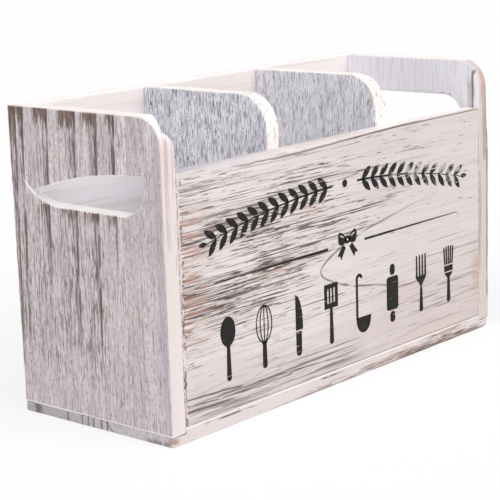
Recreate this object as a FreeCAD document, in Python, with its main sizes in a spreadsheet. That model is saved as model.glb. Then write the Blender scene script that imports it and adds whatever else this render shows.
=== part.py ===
import FreeCAD, Part
import os
from collections import namedtuple

import Sketcher

# Utensil caddy: an open wooden box with three compartments and a hand slot in each end.
# Seven boards are held together by brads, driven below the faces and filled over.
# Millimetres. +Z is up, the front faces -Y and +X is to the right for someone facing the front.
# The origin is the middle of the footprint, on the surface that the caddy stands on.
# Positions in the expressions are measured from the caddy's left end, front face and underside.

doc = FreeCAD.newDocument("utensil_caddy")

# Driving sizes

SIZES = {
    "overall_length": 259.0,
    "overall_depth": 99.0,
    "overall_height": 150.0,
    "base_thickness": 7.5,
    "base_corner_radius": 2.5,
    "rabbet_depth": 2.9,
    "end_thickness": 9.0,
    "end_corner_radius": 13.0,
    "front_thickness": 9.0,
    "front_drop": 25.6,
    "back_thickness": 9.0,
    "divider_thickness": 9.0,
    "divider_corner_radius": 17.0,
    "centre_width": 77.0,
    "slot_length": 77.0,
    "slot_height": 26.4,
    "slot_top_margin": 19.4,
    "moon_front_margin": 11.0,
    "moon_back_margin": 14.6,
    "moon_height": 18.9,
    "moon_tip_height": 5.8,
    "moon_back_run": 18.9,
    "moon_front_radius": 15.0,
    "moon_tip_radius": 1.5,
    "moon_flare": 8.0,
    "arris_radius": 0.8,
    "brad_diameter": 1.3,
    "brad_length": 22.0,
    "brad_head_diameter": 2.0,
    "brad_head_height": 0.8,
    "brad_set": 1.2,
    "brad_clearance": 0.05,
    "brad_margin": 22.0,
    "brad_top_margin": 9.0,
    "panel_brad_inset": 45.0,
    "divider_brad_inset": 30.0,
}

sheet = doc.addObject("Spreadsheet::Sheet", "sizes")
for row, (alias, number) in enumerate(SIZES.items(), start=1):
    sheet.set(f"A{row}", alias)
    sheet.set(f"B{row}", str(number))
    sheet.setAlias(f"B{row}", alias)
doc.recompute()

# Sizes and places that follow from the driving ones

LENGTH = "sizes.overall_length"
DEPTH = "sizes.overall_depth"
HEIGHT = "sizes.overall_height"
BASE_TOP = "sizes.base_thickness"
RABBET_LEVEL = "(sizes.base_thickness - sizes.rabbet_depth)"
END = "sizes.end_thickness"
RIGHT_END = "(sizes.overall_length - sizes.end_thickness)"
INNER_LENGTH = "(sizes.overall_length - 2 * sizes.end_thickness)"
FRONT_TOP = "(sizes.overall_height - sizes.front_drop)"
BACK_FACE = "(sizes.overall_depth - sizes.back_thickness)"
INNER_DEPTH = "(sizes.overall_depth - sizes.front_thickness - sizes.back_thickness)"
LEFT_DIVIDER = "((sizes.overall_length - sizes.centre_width) / 2 - sizes.divider_thickness)"
RIGHT_DIVIDER = "((sizes.overall_length + sizes.centre_width) / 2)"
SLOT_FRONT = "((sizes.overall_depth - sizes.slot_length) / 2)"
SLOT_BACK = "((sizes.overall_depth + sizes.slot_length) / 2)"
SLOT_RADIUS = "(sizes.slot_height / 2)"
SLOT_BOTTOM = "(sizes.overall_height - sizes.slot_top_margin - sizes.slot_height)"
ZERO = "0"


def value(expression):
    """The number that an expression on the sheet has now."""
    return float(sheet.evalExpression(expression))


# Sketches

PLANE_OF_AXIS = {"X": "YZ_Plane", "Y": "XZ_Plane", "Z": "XY_Plane"}
# The places of these words are the numbers that constraints know a curve's points by.
POINTS = ("edge", "start", "end", "centre")
START, END_POINT, CENTRE = (POINTS.index(word) for word in ("start", "end", "centre"))


def new_sketch(body, name, axis, offset=ZERO):
    """A sketch square to one of the body's axes, moved along that axis by an expression."""
    sketch = body.newObject("Sketcher::SketchObject", name)
    planes = {feature.Role: feature for feature in body.Origin.OriginFeatures}
    sketch.AttachmentSupport = [(planes[PLANE_OF_AXIS[axis]], "")]
    sketch.MapMode = "FlatFace"
    # The XZ plane's normal points along -Y.
    sign = "-1" if axis == "Y" else "1"
    sketch.setExpression("AttachmentOffset.Base.z", f"{sign} * ({offset})")
    return sketch


def locate(sketch, geometry, point, across, up):
    """Ties one point of a sketch to its distances from the sketch's origin."""
    horizontal_axis = -1
    vertical_axis = -2
    origin = (horizontal_axis, START)
    for kind, expression, axis in (
        ("DistanceX", across, vertical_axis),
        ("DistanceY", up, horizontal_axis),
    ):
        if expression == ZERO:
            sketch.addConstraint(Sketcher.Constraint("PointOnObject", geometry, point, axis))
            continue
        index = sketch.addConstraint(
            Sketcher.Constraint(kind, *origin, geometry, point, value(expression))
        )
        sketch.setExpression(f"Constraints[{index}]", expression)


def tie_radius(sketch, geometry, expression):
    """Ties the radius of an arc or a circle to an expression."""
    index = sketch.addConstraint(Sketcher.Constraint("Radius", geometry, value(expression)))
    sketch.setExpression(f"Constraints[{index}]", expression)


def draw_outline(sketch, corners):
    """A closed outline, anticlockwise.

    Each corner is (across, up, radius): the radius belongs to the arc that bulges outwards
    on the way to the next corner, and None makes that way a straight line.
    """
    points = [FreeCAD.Vector(value(across), value(up)) for across, up, _ in corners]
    count = len(corners)
    for index, (across, up, radius) in enumerate(corners):
        start = points[index]
        end = points[(index + 1) % count]
        if radius is None:
            sketch.addGeometry(Part.LineSegment(start, end))
            continue
        chord = end - start
        outwards = FreeCAD.Vector(chord.y, -chord.x).normalize()
        bend = value(radius)
        sagitta = bend - (bend**2 - (chord.Length / 2) ** 2) ** 0.5
        sketch.addGeometry(Part.Arc(start, (start + end) / 2 + outwards * sagitta, end))
    for index, (across, up, radius) in enumerate(corners):
        following = (index + 1) % count
        sketch.addConstraint(Sketcher.Constraint("Coincident", index, END_POINT, following, START))
        locate(sketch, index, START, across, up)
        if radius is not None:
            tie_radius(sketch, index, radius)


# Boards

NEARLY = 1e-6


def new_body(label, corner):
    """An empty body whose own origin stands at a corner measured from the caddy's lowest corner."""
    body = doc.addObject("PartDesign::Body", label)
    body.Label = label
    middle = {"x": "sizes.overall_length / 2", "y": "sizes.overall_depth / 2", "z": ZERO}
    for letter, expression in zip("xyz", corner):
        body.setExpression(f"Placement.Base.{letter}", f"({expression}) - {middle[letter]}")
    return body


def new_board(label, corner, axis, corners, thickness):
    """A board sawn to an outline square to an axis, as thick as stated along that axis."""
    body = new_body(label, corner)
    sketch = new_sketch(body, f"{label}_outline", axis)
    draw_outline(sketch, corners)
    pad = body.newObject("PartDesign::Pad", f"{label}_pad")
    pad.Profile = sketch
    pad.setExpression("Length", thickness)
    pad.Reversed = axis == "Y"
    body.Tip = pad
    doc.recompute()
    return body


def rectangle(width, height):
    """The corners of a rectangle that starts at the sketch's origin."""
    return [
        (ZERO, ZERO, None),
        (width, ZERO, None),
        (width, height, None),
        (ZERO, height, None),
    ]


def upright_outline(depth, height, radius):
    """The side view of an upright board whose front top corner is rounded."""
    return [
        (ZERO, ZERO, None),
        (depth, ZERO, None),
        (depth, height, None),
        (radius, height, radius),
        (ZERO, f"{height} - {radius}", None),
    ]


def ease_edges(body, name, radius, chosen):
    """Rounds the body's edges for which chosen(edge) holds."""
    base = body.Tip
    names = [f"Edge{number}" for number, edge in enumerate(base.Shape.Edges, 1) if chosen(edge)]
    fillet = body.newObject("PartDesign::Fillet", f"{body.Label}_{name}")
    fillet.Base = (base, names)
    fillet.setExpression("Radius", radius)
    body.Tip = fillet
    doc.recompute()


def every_edge(edge):
    """True for all edges of a board."""
    return True


def runs_along(edge, axis):
    """True for a straight edge parallel to an axis."""
    direction = edge.tangentAt(edge.FirstParameter)
    straight = isinstance(edge.Curve, Part.Line)
    return straight and abs(getattr(direction, axis.lower())) > 1 - NEARLY


def at_height(edge, height):
    """True for an edge that lies all at one height of its board."""
    box = edge.BoundBox
    return abs(box.ZMin - height) < NEARLY and abs(box.ZMax - height) < NEARLY


def make_base():
    """The base: both ends are cut down to a rabbet in which an end board stands."""
    profile = [
        (ZERO, ZERO, None),
        (LENGTH, ZERO, None),
        (LENGTH, RABBET_LEVEL, None),
        (RIGHT_END, RABBET_LEVEL, None),
        (RIGHT_END, BASE_TOP, None),
        (END, BASE_TOP, None),
        (END, RABBET_LEVEL, None),
        (ZERO, RABBET_LEVEL, None),
    ]
    body = new_board("base_board", (ZERO, ZERO, ZERO), "Y", profile, DEPTH)
    ends = (0.0, value(LENGTH))

    def plan_corner(edge):
        at_end = any(abs(edge.BoundBox.XMin - end) < NEARLY for end in ends)
        return runs_along(edge, "Z") and at_end

    def exposed_arris(edge):
        front_or_back = at_height(edge, value(BASE_TOP)) and runs_along(edge, "X")
        return at_height(edge, 0.0) or front_or_back

    ease_edges(body, "corners", "sizes.base_corner_radius", plan_corner)
    ease_edges(body, "arrises", "sizes.arris_radius", exposed_arris)
    return body


def long_slot():
    """The right board's hand slot, in side view: a long slot with round ends."""
    bottom = f"({SLOT_BOTTOM} - {RABBET_LEVEL})"
    top = f"{bottom} + sizes.slot_height"
    middle = f"{bottom} + {SLOT_RADIUS}"
    return [
        (f"{SLOT_FRONT} + {SLOT_RADIUS}", bottom, None),
        (f"{SLOT_BACK} - {SLOT_RADIUS}", bottom, SLOT_RADIUS),
        (SLOT_BACK, middle, SLOT_RADIUS),
        (f"{SLOT_BACK} - {SLOT_RADIUS}", top, None),
        (f"{SLOT_FRONT} + {SLOT_RADIUS}", top, SLOT_RADIUS),
        (SLOT_FRONT, middle, SLOT_RADIUS),
    ]


def half_moon(flare):
    """The left board's hand slot, in side view: a half moon, longer at the back by the flare.

    From the end of its flat floor an arc climbs to the tip at the back. From the tip a wider arc
    runs on to the front, where it ends level. An arc through a point that is this far along and this
    far up from where it starts level has the radius (along^2 + up^2) / (2 * up).
    """
    front = "sizes.moon_front_margin"
    bottom = f"({SLOT_BOTTOM} - {RABBET_LEVEL})"
    top = f"({bottom} + sizes.moon_height)"
    front_radius = "sizes.moon_front_radius"
    tip_radius = "sizes.moon_tip_radius"
    tip_rise = "sizes.moon_tip_height"
    tip_fall = "(sizes.moon_height - sizes.moon_tip_height)"
    tip = f"({DEPTH} - sizes.moon_back_margin + {flare})"
    back_run = "sizes.moon_back_run"
    floor_end = f"({tip} - {back_run})"
    upper_start = f"({front} + {tip_radius})"
    upper_run = f"({tip} - {upper_start})"
    return [
        (f"{front} + {front_radius}", bottom, None),
        (floor_end, bottom, f"({back_run}^2 + {tip_rise}^2) / (2 * {tip_rise})"),
        (tip, f"{bottom} + {tip_rise}", f"({upper_run}^2 + {tip_fall}^2) / (2 * {tip_fall})"),
        (upper_start, top, tip_radius),
        (front, f"{top} - {tip_radius}", None),
        (front, f"{bottom} + {front_radius}", front_radius),
    ]


def cut_slot(body, outlines):
    """Cuts a hand slot through an end board, from the outline on its left face to that on its right."""
    sketches = []
    for word, place, outline in zip(("left", "right"), (ZERO, END), outlines):
        sketch = new_sketch(body, f"{body.Label}_slot_{word}", "X", place)
        draw_outline(sketch, outline)
        sketches.append(sketch)
    volume = body.Tip.Shape.Volume
    loft = body.newObject("PartDesign::SubtractiveLoft", f"{body.Label}_slot")
    loft.Profile = sketches[0]
    loft.Sections = sketches[1:]
    loft.Ruled = True
    body.Tip = loft
    doc.recompute()
    if loft.Shape.Volume >= volume:
        raise ValueError(f"{body.Label}: the hand slot cut nothing")


def in_slot(edge):
    """True for an edge of an end board that lies between the hand slots' lowest and highest levels."""
    lowest = value(f"{SLOT_BOTTOM} - {RABBET_LEVEL}")
    highest = lowest + max(value("sizes.slot_height"), value("sizes.moon_height"))
    return edge.BoundBox.ZMin > lowest - NEARLY and edge.BoundBox.ZMax < highest + NEARLY


def ease_tip(body):
    """Rounds the sharp tip of a half moon: of the edges through the board there, the furthest back."""
    def through(edge):
        return edge.BoundBox.XLength > value(END) - NEARLY

    furthest = max(edge.BoundBox.YMax for edge in body.Tip.Shape.Edges if through(edge) and in_slot(edge))

    def tip(edge):
        return through(edge) and in_slot(edge) and edge.BoundBox.YMax > furthest - NEARLY

    ease_edges(body, "slot_tip", "sizes.moon_tip_radius", tip)


def slot_rim(edge):
    """True for an edge of the hand slot that lies on one of an end board's two faces."""
    box = edge.BoundBox
    on_face = box.XLength < NEARLY and any(abs(box.XMin - face) < NEARLY for face in (0.0, value(END)))
    return on_face and in_slot(edge)


def make_end_board(label, left, slot_outlines, has_tip):
    """An end board: it stands in the base's rabbet and closes the caddy from front to back."""
    outline = upright_outline(DEPTH, f"{HEIGHT} - {RABBET_LEVEL}", "sizes.end_corner_radius")
    body = new_board(label, (left, ZERO, RABBET_LEVEL), "X", outline, END)
    ease_edges(body, "arrises", "sizes.arris_radius", every_edge)
    cut_slot(body, slot_outlines)
    if has_tip:
        ease_tip(body)
    ease_edges(body, "slot_rim", "sizes.arris_radius", slot_rim)
    return body


def make_panel(label, front, thickness, top):
    """A panel that stands on the base between the end boards."""
    outline = rectangle(INNER_LENGTH, thickness)
    body = new_board(label, (END, front, BASE_TOP), "Z", outline, f"{top} - {BASE_TOP}")
    ease_edges(body, "arrises", "sizes.arris_radius", every_edge)
    return body


def make_divider(label, left):
    """A divider that stands on the base between the front and back panels."""
    outline = upright_outline(INNER_DEPTH, f"{HEIGHT} - {BASE_TOP}", "sizes.divider_corner_radius")
    corner = (left, "sizes.front_thickness", BASE_TOP)
    body = new_board(label, corner, "X", outline, "sizes.divider_thickness")
    ease_edges(body, "arrises", "sizes.arris_radius", every_edge)
    return body


# Brads

# axis: the line that the brads are driven along; forwards: whether towards its positive end;
# head: where the heads' tops lie on that line; places: the two other positions of each brad.
BradGroup = namedtuple("BradGroup", "label axis forwards head places")

FRONT_MIDDLE = "(sizes.front_thickness / 2)"
BACK_MIDDLE = f"({DEPTH} - sizes.back_thickness / 2)"
LEFT_END_MIDDLE = "(sizes.end_thickness / 2)"
RIGHT_END_MIDDLE = f"({LENGTH} - sizes.end_thickness / 2)"
DIVIDER_MIDDLES = [
    f"({left} + sizes.divider_thickness / 2)" for left in (LEFT_DIVIDER, RIGHT_DIVIDER)
]
LOW = f"({BASE_TOP} + sizes.brad_margin)"
HIGH = f"({FRONT_TOP} - sizes.brad_margin)"
HALFWAY = f"(({LOW} + {HIGH}) / 2)"
TOP = f"({HEIGHT} - sizes.brad_top_margin)"
FRONT_LEVELS = [LOW, HALFWAY, HIGH]
BACK_LEVELS = [LOW, HALFWAY, HIGH, TOP]
SET = "sizes.brad_set"


def grid(first, second):
    """Every pair of one position from each list."""
    return [(one, other) for one in first for other in second]


END_PLACES = grid([FRONT_MIDDLE], FRONT_LEVELS) + grid([BACK_MIDDLE], BACK_LEVELS)
END_DEPTHS = ["sizes.brad_margin", f"{DEPTH} / 2", f"{DEPTH} - sizes.brad_margin"]
PANEL_STATIONS = ["sizes.panel_brad_inset", f"{LENGTH} / 2", f"{LENGTH} - sizes.panel_brad_inset"]
DIVIDER_DEPTHS = ["sizes.divider_brad_inset", f"{DEPTH} - sizes.divider_brad_inset"]

LEFT_END_BRADS = BradGroup("left_end_brads", "X", True, SET, END_PLACES)
RIGHT_END_BRADS = BradGroup("right_end_brads", "X", False, f"{LENGTH} - {SET}", END_PLACES)
BASE_END_BRADS = BradGroup(
    "base_end_brads", "Z", True, SET, grid([LEFT_END_MIDDLE, RIGHT_END_MIDDLE], END_DEPTHS)
)
BASE_PANEL_BRADS = BradGroup(
    "base_panel_brads", "Z", True, SET, grid(PANEL_STATIONS, [FRONT_MIDDLE, BACK_MIDDLE])
)
BASE_DIVIDER_BRADS = BradGroup(
    "base_divider_brads", "Z", True, SET, grid(DIVIDER_MIDDLES, DIVIDER_DEPTHS)
)
FRONT_DIVIDER_BRADS = BradGroup(
    "front_divider_brads", "Y", True, SET, grid(DIVIDER_MIDDLES, FRONT_LEVELS)
)
BACK_DIVIDER_BRADS = BradGroup(
    "back_divider_brads", "Y", False, f"{DEPTH} - {SET}", grid(DIVIDER_MIDDLES, BACK_LEVELS)
)

LOWEST_CORNER = (ZERO, ZERO, ZERO)


def draw_circles(body, name, group, corner, radius, which=None):
    """One circle for each brad of a group, or for those that which(place) keeps, at the heads."""
    along = dict(zip("XYZ", corner))
    first, second = [letter for letter in "XYZ" if letter != group.axis]
    sketch = new_sketch(body, name, group.axis, f"{group.head} - ({along[group.axis]})")
    normal = FreeCAD.Vector(0, 0, 1)
    kept = [place for place in group.places if which is None or which(place)]
    for index, (across, up) in enumerate(kept):
        across = f"{across} - ({along[first]})"
        up = f"{up} - ({along[second]})"
        centre = FreeCAD.Vector(value(across), value(up))
        sketch.addGeometry(Part.Circle(centre, normal, value(radius)))
        locate(sketch, index, CENTRE, across, up)
        tie_radius(sketch, index, radius)
    return sketch


def along_normal(group):
    """True where a brad is driven the way its sketch plane faces: the XZ plane faces -Y."""
    return group.forwards != (group.axis == "Y")


def make_brads(group):
    """A group of brads: each is one solid, a shank under a small round head."""
    body = new_body(group.label, LOWEST_CORNER)
    body.AllowCompound = True
    for part, radius, length in (
        ("shanks", "sizes.brad_diameter / 2", "sizes.brad_length"),
        ("heads", "sizes.brad_head_diameter / 2", "sizes.brad_head_height"),
    ):
        name = f"{group.label}_{part}"
        pad = body.newObject("PartDesign::Pad", f"{name}_pad")
        pad.Profile = draw_circles(body, name, group, LOWEST_CORNER, radius)
        pad.setExpression("Length", length)
        pad.Reversed = not along_normal(group)
        body.Tip = pad
        doc.recompute()
    return body


def bore(body, corner, group, with_heads, which=None):
    """Cuts a board for a group's brads, with the seats of the heads where they lie in it."""
    cuts = [("shanks", "sizes.brad_diameter / 2 + sizes.brad_clearance", "sizes.brad_length")]
    if with_heads:
        head_radius = "sizes.brad_head_diameter / 2 + sizes.brad_clearance"
        cuts.append(("heads", head_radius, "sizes.brad_head_height"))
    for part, radius, length in cuts:
        name = f"{body.Label}_{group.label}_{part}"
        volume = body.Tip.Shape.Volume
        pocket = body.newObject("PartDesign::Pocket", f"{name}_pocket")
        pocket.Profile = draw_circles(body, name, group, corner, radius, which)
        pocket.setExpression("Length", f"{length} + sizes.brad_clearance")
        pocket.Reversed = along_normal(group)
        body.Tip = pocket
        doc.recompute()
        if pocket.Shape.Volume >= volume:
            raise ValueError(f"{name}: the bores cut nothing")


# Assembly

base = make_base()
for brads in (BASE_END_BRADS, BASE_PANEL_BRADS, BASE_DIVIDER_BRADS):
    bore(base, LOWEST_CORNER, brads, with_heads=True)

boards = [base]
left_end = make_end_board(
    "left_end_board", ZERO, [half_moon(ZERO), half_moon("sizes.moon_flare")], has_tip=True
)
right_end = make_end_board(
    "right_end_board", RIGHT_END, [long_slot(), long_slot()], has_tip=False
)
for board, left, brads, middle in (
    (left_end, ZERO, LEFT_END_BRADS, LEFT_END_MIDDLE),
    (right_end, RIGHT_END, RIGHT_END_BRADS, RIGHT_END_MIDDLE),
):
    corner = (left, ZERO, RABBET_LEVEL)
    bore(board, corner, brads, with_heads=True)
    bore(board, corner, BASE_END_BRADS, False, lambda place, here=middle: place[0] == here)
    boards.append(board)

for label, front, thickness, top, middle, brads in (
    ("front_panel", ZERO, "sizes.front_thickness", FRONT_TOP, FRONT_MIDDLE, FRONT_DIVIDER_BRADS),
    ("back_panel", BACK_FACE, "sizes.back_thickness", HEIGHT, BACK_MIDDLE, BACK_DIVIDER_BRADS),
):
    board = make_panel(label, front, thickness, top)
    corner = (END, front, BASE_TOP)
    bore(board, corner, brads, with_heads=True)
    for end_brads in (LEFT_END_BRADS, RIGHT_END_BRADS):
        bore(board, corner, end_brads, False, lambda place, here=middle: place[0] == here)
    bore(board, corner, BASE_PANEL_BRADS, False, lambda place, here=middle: place[1] == here)
    boards.append(board)

for side, left, middle in zip(("left", "right"), (LEFT_DIVIDER, RIGHT_DIVIDER), DIVIDER_MIDDLES):
    board = make_divider(f"{side}_divider", left)
    corner = (left, "sizes.front_thickness", BASE_TOP)
    for brads in (FRONT_DIVIDER_BRADS, BACK_DIVIDER_BRADS, BASE_DIVIDER_BRADS):
        bore(board, corner, brads, False, lambda place, here=middle: place[0] == here)
    boards.append(board)

brad_bodies = [
    make_brads(group)
    for group in (
        LEFT_END_BRADS,
        RIGHT_END_BRADS,
        BASE_END_BRADS,
        BASE_PANEL_BRADS,
        BASE_DIVIDER_BRADS,
        FRONT_DIVIDER_BRADS,
        BACK_DIVIDER_BRADS,
    )
]

# Checks and export

doc.recompute()
for item in doc.Objects:
    if "Invalid" in item.State or "Error" in item.State:
        raise ValueError(f"{item.Label} failed: {item.State}")
os.makedirs("parts", exist_ok=True)
for body in boards + brad_bodies:
    if body.Shape.isNull() or not body.Shape.isValid():
        raise ValueError(f"{body.Label} has no valid shape")
for body in boards + brad_bodies:
    body.Shape.exportStep(f"parts/{body.Label}.step")
    box = body.Shape.BoundBox
    solids = len(body.Shape.Solids)
    print(f"{body.Label}: {solids} solids, {body.Shape.Volume:.1f} mm3, {box}")
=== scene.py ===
# %% [markdown]
# A kitchen caddy of whitewashed boards: two upright ends with hand slots, a low front panel, a taller
# back panel, two dividers and a flat base, held by hidden brads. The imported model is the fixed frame:
# every piece made below takes its place from it, in metres, with +Z up and the front towards -Y.

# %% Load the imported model
import math
from collections import namedtuple
from functools import reduce

import bmesh
import bpy
import numpy as np
from mathutils import Matrix, Vector


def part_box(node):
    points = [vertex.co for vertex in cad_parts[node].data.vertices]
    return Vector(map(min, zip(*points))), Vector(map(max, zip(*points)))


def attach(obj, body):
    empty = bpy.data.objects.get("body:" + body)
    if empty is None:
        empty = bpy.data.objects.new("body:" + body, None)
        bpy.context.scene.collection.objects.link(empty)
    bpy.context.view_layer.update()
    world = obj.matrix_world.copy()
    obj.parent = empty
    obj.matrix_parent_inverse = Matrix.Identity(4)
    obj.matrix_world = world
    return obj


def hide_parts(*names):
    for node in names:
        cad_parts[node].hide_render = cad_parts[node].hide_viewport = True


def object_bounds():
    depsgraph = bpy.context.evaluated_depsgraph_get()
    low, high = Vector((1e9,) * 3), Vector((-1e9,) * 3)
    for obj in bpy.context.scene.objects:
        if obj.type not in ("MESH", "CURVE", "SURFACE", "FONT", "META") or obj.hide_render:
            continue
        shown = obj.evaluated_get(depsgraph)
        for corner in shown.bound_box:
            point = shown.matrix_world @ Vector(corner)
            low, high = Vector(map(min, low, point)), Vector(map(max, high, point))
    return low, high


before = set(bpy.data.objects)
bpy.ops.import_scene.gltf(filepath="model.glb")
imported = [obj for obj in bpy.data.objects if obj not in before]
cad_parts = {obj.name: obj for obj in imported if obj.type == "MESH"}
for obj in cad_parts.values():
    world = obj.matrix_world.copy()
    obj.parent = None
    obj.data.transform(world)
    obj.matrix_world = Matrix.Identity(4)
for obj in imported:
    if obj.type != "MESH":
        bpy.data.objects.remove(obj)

MM = 0.001
BODY = "root"
X_AXIS, Y_AXIS, Z_AXIS = range(3)
cad_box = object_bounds()
size_in_mm = [round(side / MM, 1) for side in cad_box[1] - cad_box[0]]
print("loaded", len(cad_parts), "nodes, size in mm:", size_in_mm)

# %% [markdown]
# The camera stands where the photographer stood: in front of the left end, a little above the rim.
# Its place and lens come from the corners of the boards in the photo, so that the same corners fall on
# the same pixels. A long lens is used from about 0.9 m, which keeps the upright lines nearly parallel.

# %% Camera
EYE = Vector((-637.2, -545.5, 246.9)) * MM
HEADING = math.radians(48.7)
PITCH = math.radians(-12.43)
ROLL = math.radians(-1.89)
FOCAL_PIXELS = 1652.9
IMAGE_PIXELS = 500
SENSOR_WIDTH = 36.0

camera_data = bpy.data.cameras.new("photo_camera")
camera_data.sensor_width = SENSOR_WIDTH
camera_data.lens = SENSOR_WIDTH * FOCAL_PIXELS / IMAGE_PIXELS
camera = bpy.data.objects.new("photo_camera", camera_data)
bpy.context.scene.collection.objects.link(camera)
facing = Matrix.Rotation(-HEADING, 4, "Z") @ Matrix.Rotation(math.pi / 2 + PITCH, 4, "X")
camera.matrix_world = Matrix.Translation(EYE) @ facing @ Matrix.Rotation(ROLL, 4, "Z")
bpy.context.scene.camera = camera
print("camera lens in mm:", round(camera_data.lens, 1))

# %% [markdown]
# Shaders are easier to read as sums than as boxes and wires. A Signal wraps one socket, so that
# `1 - mask * 0.5` adds the Math nodes by itself. Every other node comes from one method, which takes
# the node's type, its settings and what goes into its sockets.

# %% Shader expressions
class Signal:
    """One output socket that can be used in a sum, like a number."""

    def __init__(self, finish, socket):
        self.finish = finish
        self.socket = socket

    def math(self, operation, *others):
        """A Math node on this value and the others, in their order."""
        values = dict(enumerate((self, *others)))
        return self.finish.node("Math", {"operation": operation}, values)

    def __add__(self, other):
        return self.math("ADD", other)

    def __mul__(self, other):
        return self.math("MULTIPLY", other)

    def __sub__(self, other):
        return self.math("SUBTRACT", other)

    def __rsub__(self, other):
        return self.finish.node("Math", {"operation": "SUBTRACT"}, {0: other, 1: self})

    def __truediv__(self, other):
        return self.math("DIVIDE", other)

    def __abs__(self):
        return self.math("ABSOLUTE")

    __radd__ = __add__
    __rmul__ = __mul__

    def most(self, other):
        """The larger of two values."""
        return self.math("MAXIMUM", other)

    def rise(self, low, high):
        """0 below low, 1 above high, and a smooth step between; low may be above high for a fall."""
        step = {"interpolation_type": "SMOOTHSTEP"}
        return self.finish.node("MapRange", step, {"Value": self, "From Min": low, "From Max": high})

    def within(self, low, high, fade):
        """1 from low to high, fading to 0 on either side."""
        return self.rise(low - fade, low) * self.rise(high + fade, high)


class Finish:
    """The nodes of one material or of the world."""

    def __init__(self, owner):
        owner.use_nodes = True
        self.owner = owner
        self.tree = owner.node_tree
        self.tree.nodes.clear()

    def node(self, kind, settings=None, sockets=None, output=0):
        """Adds a node, sets its settings first, then its sockets' values or links."""
        made = self.tree.nodes.new("ShaderNode" + kind)
        for name, value in (settings or {}).items():
            setattr(made, name, value)
        for name, value in (sockets or {}).items():
            if isinstance(value, Signal):
                self.tree.links.new(value.socket, made.inputs[name])
            else:
                made.inputs[name].default_value = value
        return Signal(self, made.outputs[output]) if made.outputs else None

    def mix(self, first, second, share):
        """One colour fading to another; a colour is a Signal or three screen levels."""
        first, second = (x if isinstance(x, Signal) else colour(*x) for x in (first, second))
        return self.node("Mix", {"data_type": "RGBA"}, {0: share, 6: first, 7: second}, output=2)

    def scaled(self, vector, factors, shift=(0, 0, 0)):
        """A vector times factors plus a shift."""
        operation = {"operation": "MULTIPLY_ADD"}
        return self.node("VectorMath", operation, {0: vector, 1: factors, 2: shift})

    def noise(self, vector, detail=2.0, roughness=0.5):
        """Soft random levels about 0.5, with one blob per unit of the vector."""
        values = {"Vector": vector, "Scale": 1.0, "Detail": detail, "Roughness": roughness}
        return self.node("TexNoise", None, values)

    def attribute(self, name):
        """A number stored on the mesh's points."""
        return self.node("Attribute", {"attribute_name": name}, output="Fac")

    def millimetres(self):
        """A point's place in millimetres, as a vector and as its X, Y and Z."""
        place = self.scaled(self.node("TexCoord", output="Object"), (1 / MM,) * 3)
        return place, *(self.node("SeparateXYZ", None, {0: place}, axis) for axis in range(3))

    def principled(self, sockets):
        """Ends the nodes in a principled surface and gives the material."""
        self.node("OutputMaterial", None, {"Surface": self.node("BsdfPrincipled", None, sockets)})
        return self.owner


def colour(red, green, blue):
    """A colour as seen on a screen, 0 to 255, as the linear values that Blender mixes."""
    screen = np.array([red, green, blue]) / 255
    linear = np.where(screen <= 0.04045, screen / 12.92, ((screen + 0.055) / 1.055) ** 2.4)
    return (*(float(x) for x in linear), 1.0)


def new_finish(name):
    """A new material with no nodes yet."""
    return Finish(bpy.data.materials.new(name))


print("shader expressions ready")

# %% [markdown]
# A grid of points becomes a mesh in one go: every square of four neighbours is a face. Points that
# fall together, as at a pole, are merged, and the faces are then turned outwards.

# %% Meshes from grids of points
MERGE_GAP = 0.001 * MM


def new_piece(name, grids, closed_rows=False, capped=False, smooth=True, **attributes):
    """A mesh object from grids of points, each rows x columns x 3 in metres.

    A face joins points (i, j), (i, j+1), (i+1, j+1) and (i+1, j). The last column joins the first,
    and so does the last row if closed_rows; capped closes the first and the last row with a face each.
    Attributes are arrays of one number per grid point.
    """
    points, faces, start = [], [], 0
    for grid in grids:
        rows, columns = grid.shape[:2]
        index = start + np.arange(rows * columns).reshape(rows, columns)
        below = np.vstack([index, index[:1]]) if closed_rows else index
        near, far = below[:-1], below[1:]
        squares = [near, np.roll(near, -1, 1), np.roll(far, -1, 1), far]
        faces += np.stack(squares, axis=-1).reshape(-1, 4).tolist()
        if capped:
            faces += [index[0, ::-1].tolist(), index[-1].tolist()]
        points.append(grid.reshape(-1, 3))
        start += rows * columns
    mesh = bpy.data.meshes.new(name)
    mesh.from_pydata(np.vstack(points).tolist(), [], faces)
    for key, values in attributes.items():
        layer = mesh.attributes.new(key, "FLOAT", "POINT")
        layer.data.foreach_set("value", np.ravel(values).astype(np.float32))
    work = bmesh.new()
    work.from_mesh(mesh)
    bmesh.ops.remove_doubles(work, verts=work.verts, dist=MERGE_GAP)
    bmesh.ops.recalc_face_normals(work, faces=work.faces)
    work.to_mesh(mesh)
    work.free()
    mesh.polygons.foreach_set("use_smooth", np.full(len(mesh.polygons), smooth))
    piece = bpy.data.objects.new(name, mesh)
    bpy.context.scene.collection.objects.link(piece)
    return piece


print("mesh maker ready")

# %% [markdown]
# The caddy stands on a plain pale floor. A soft lamp in front shapes it, one on the left lights the end,
# one high up reaches into the compartments, and even light comes from all round. To the eye of the
# camera the floor is mostly white by itself, and the rest is the real light, so the shadow stays.

# %% Floor, world and lamps
FLOOR_REACH = 8.0
FLOOR_OWN_WHITE = 0.65
FLOOR_PAINT = colour(252, 252, 252)
WHITE = (1, 1, 1, 1)
LAMP_TINT = (1.0, 0.985, 0.97)
SKY = colour(246, 244, 246)
SKY_LEVEL = 0.46
Lamp = namedtuple("Lamp", "name level width heading height")
LAMPS = (
    Lamp("front_lamp", 1.12, 50, -176, 31),
    Lamp("left_lamp", 0.90, 50, 100, 45),
    Lamp("top_lamp", 0.70, 60, -172, 72))


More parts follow.
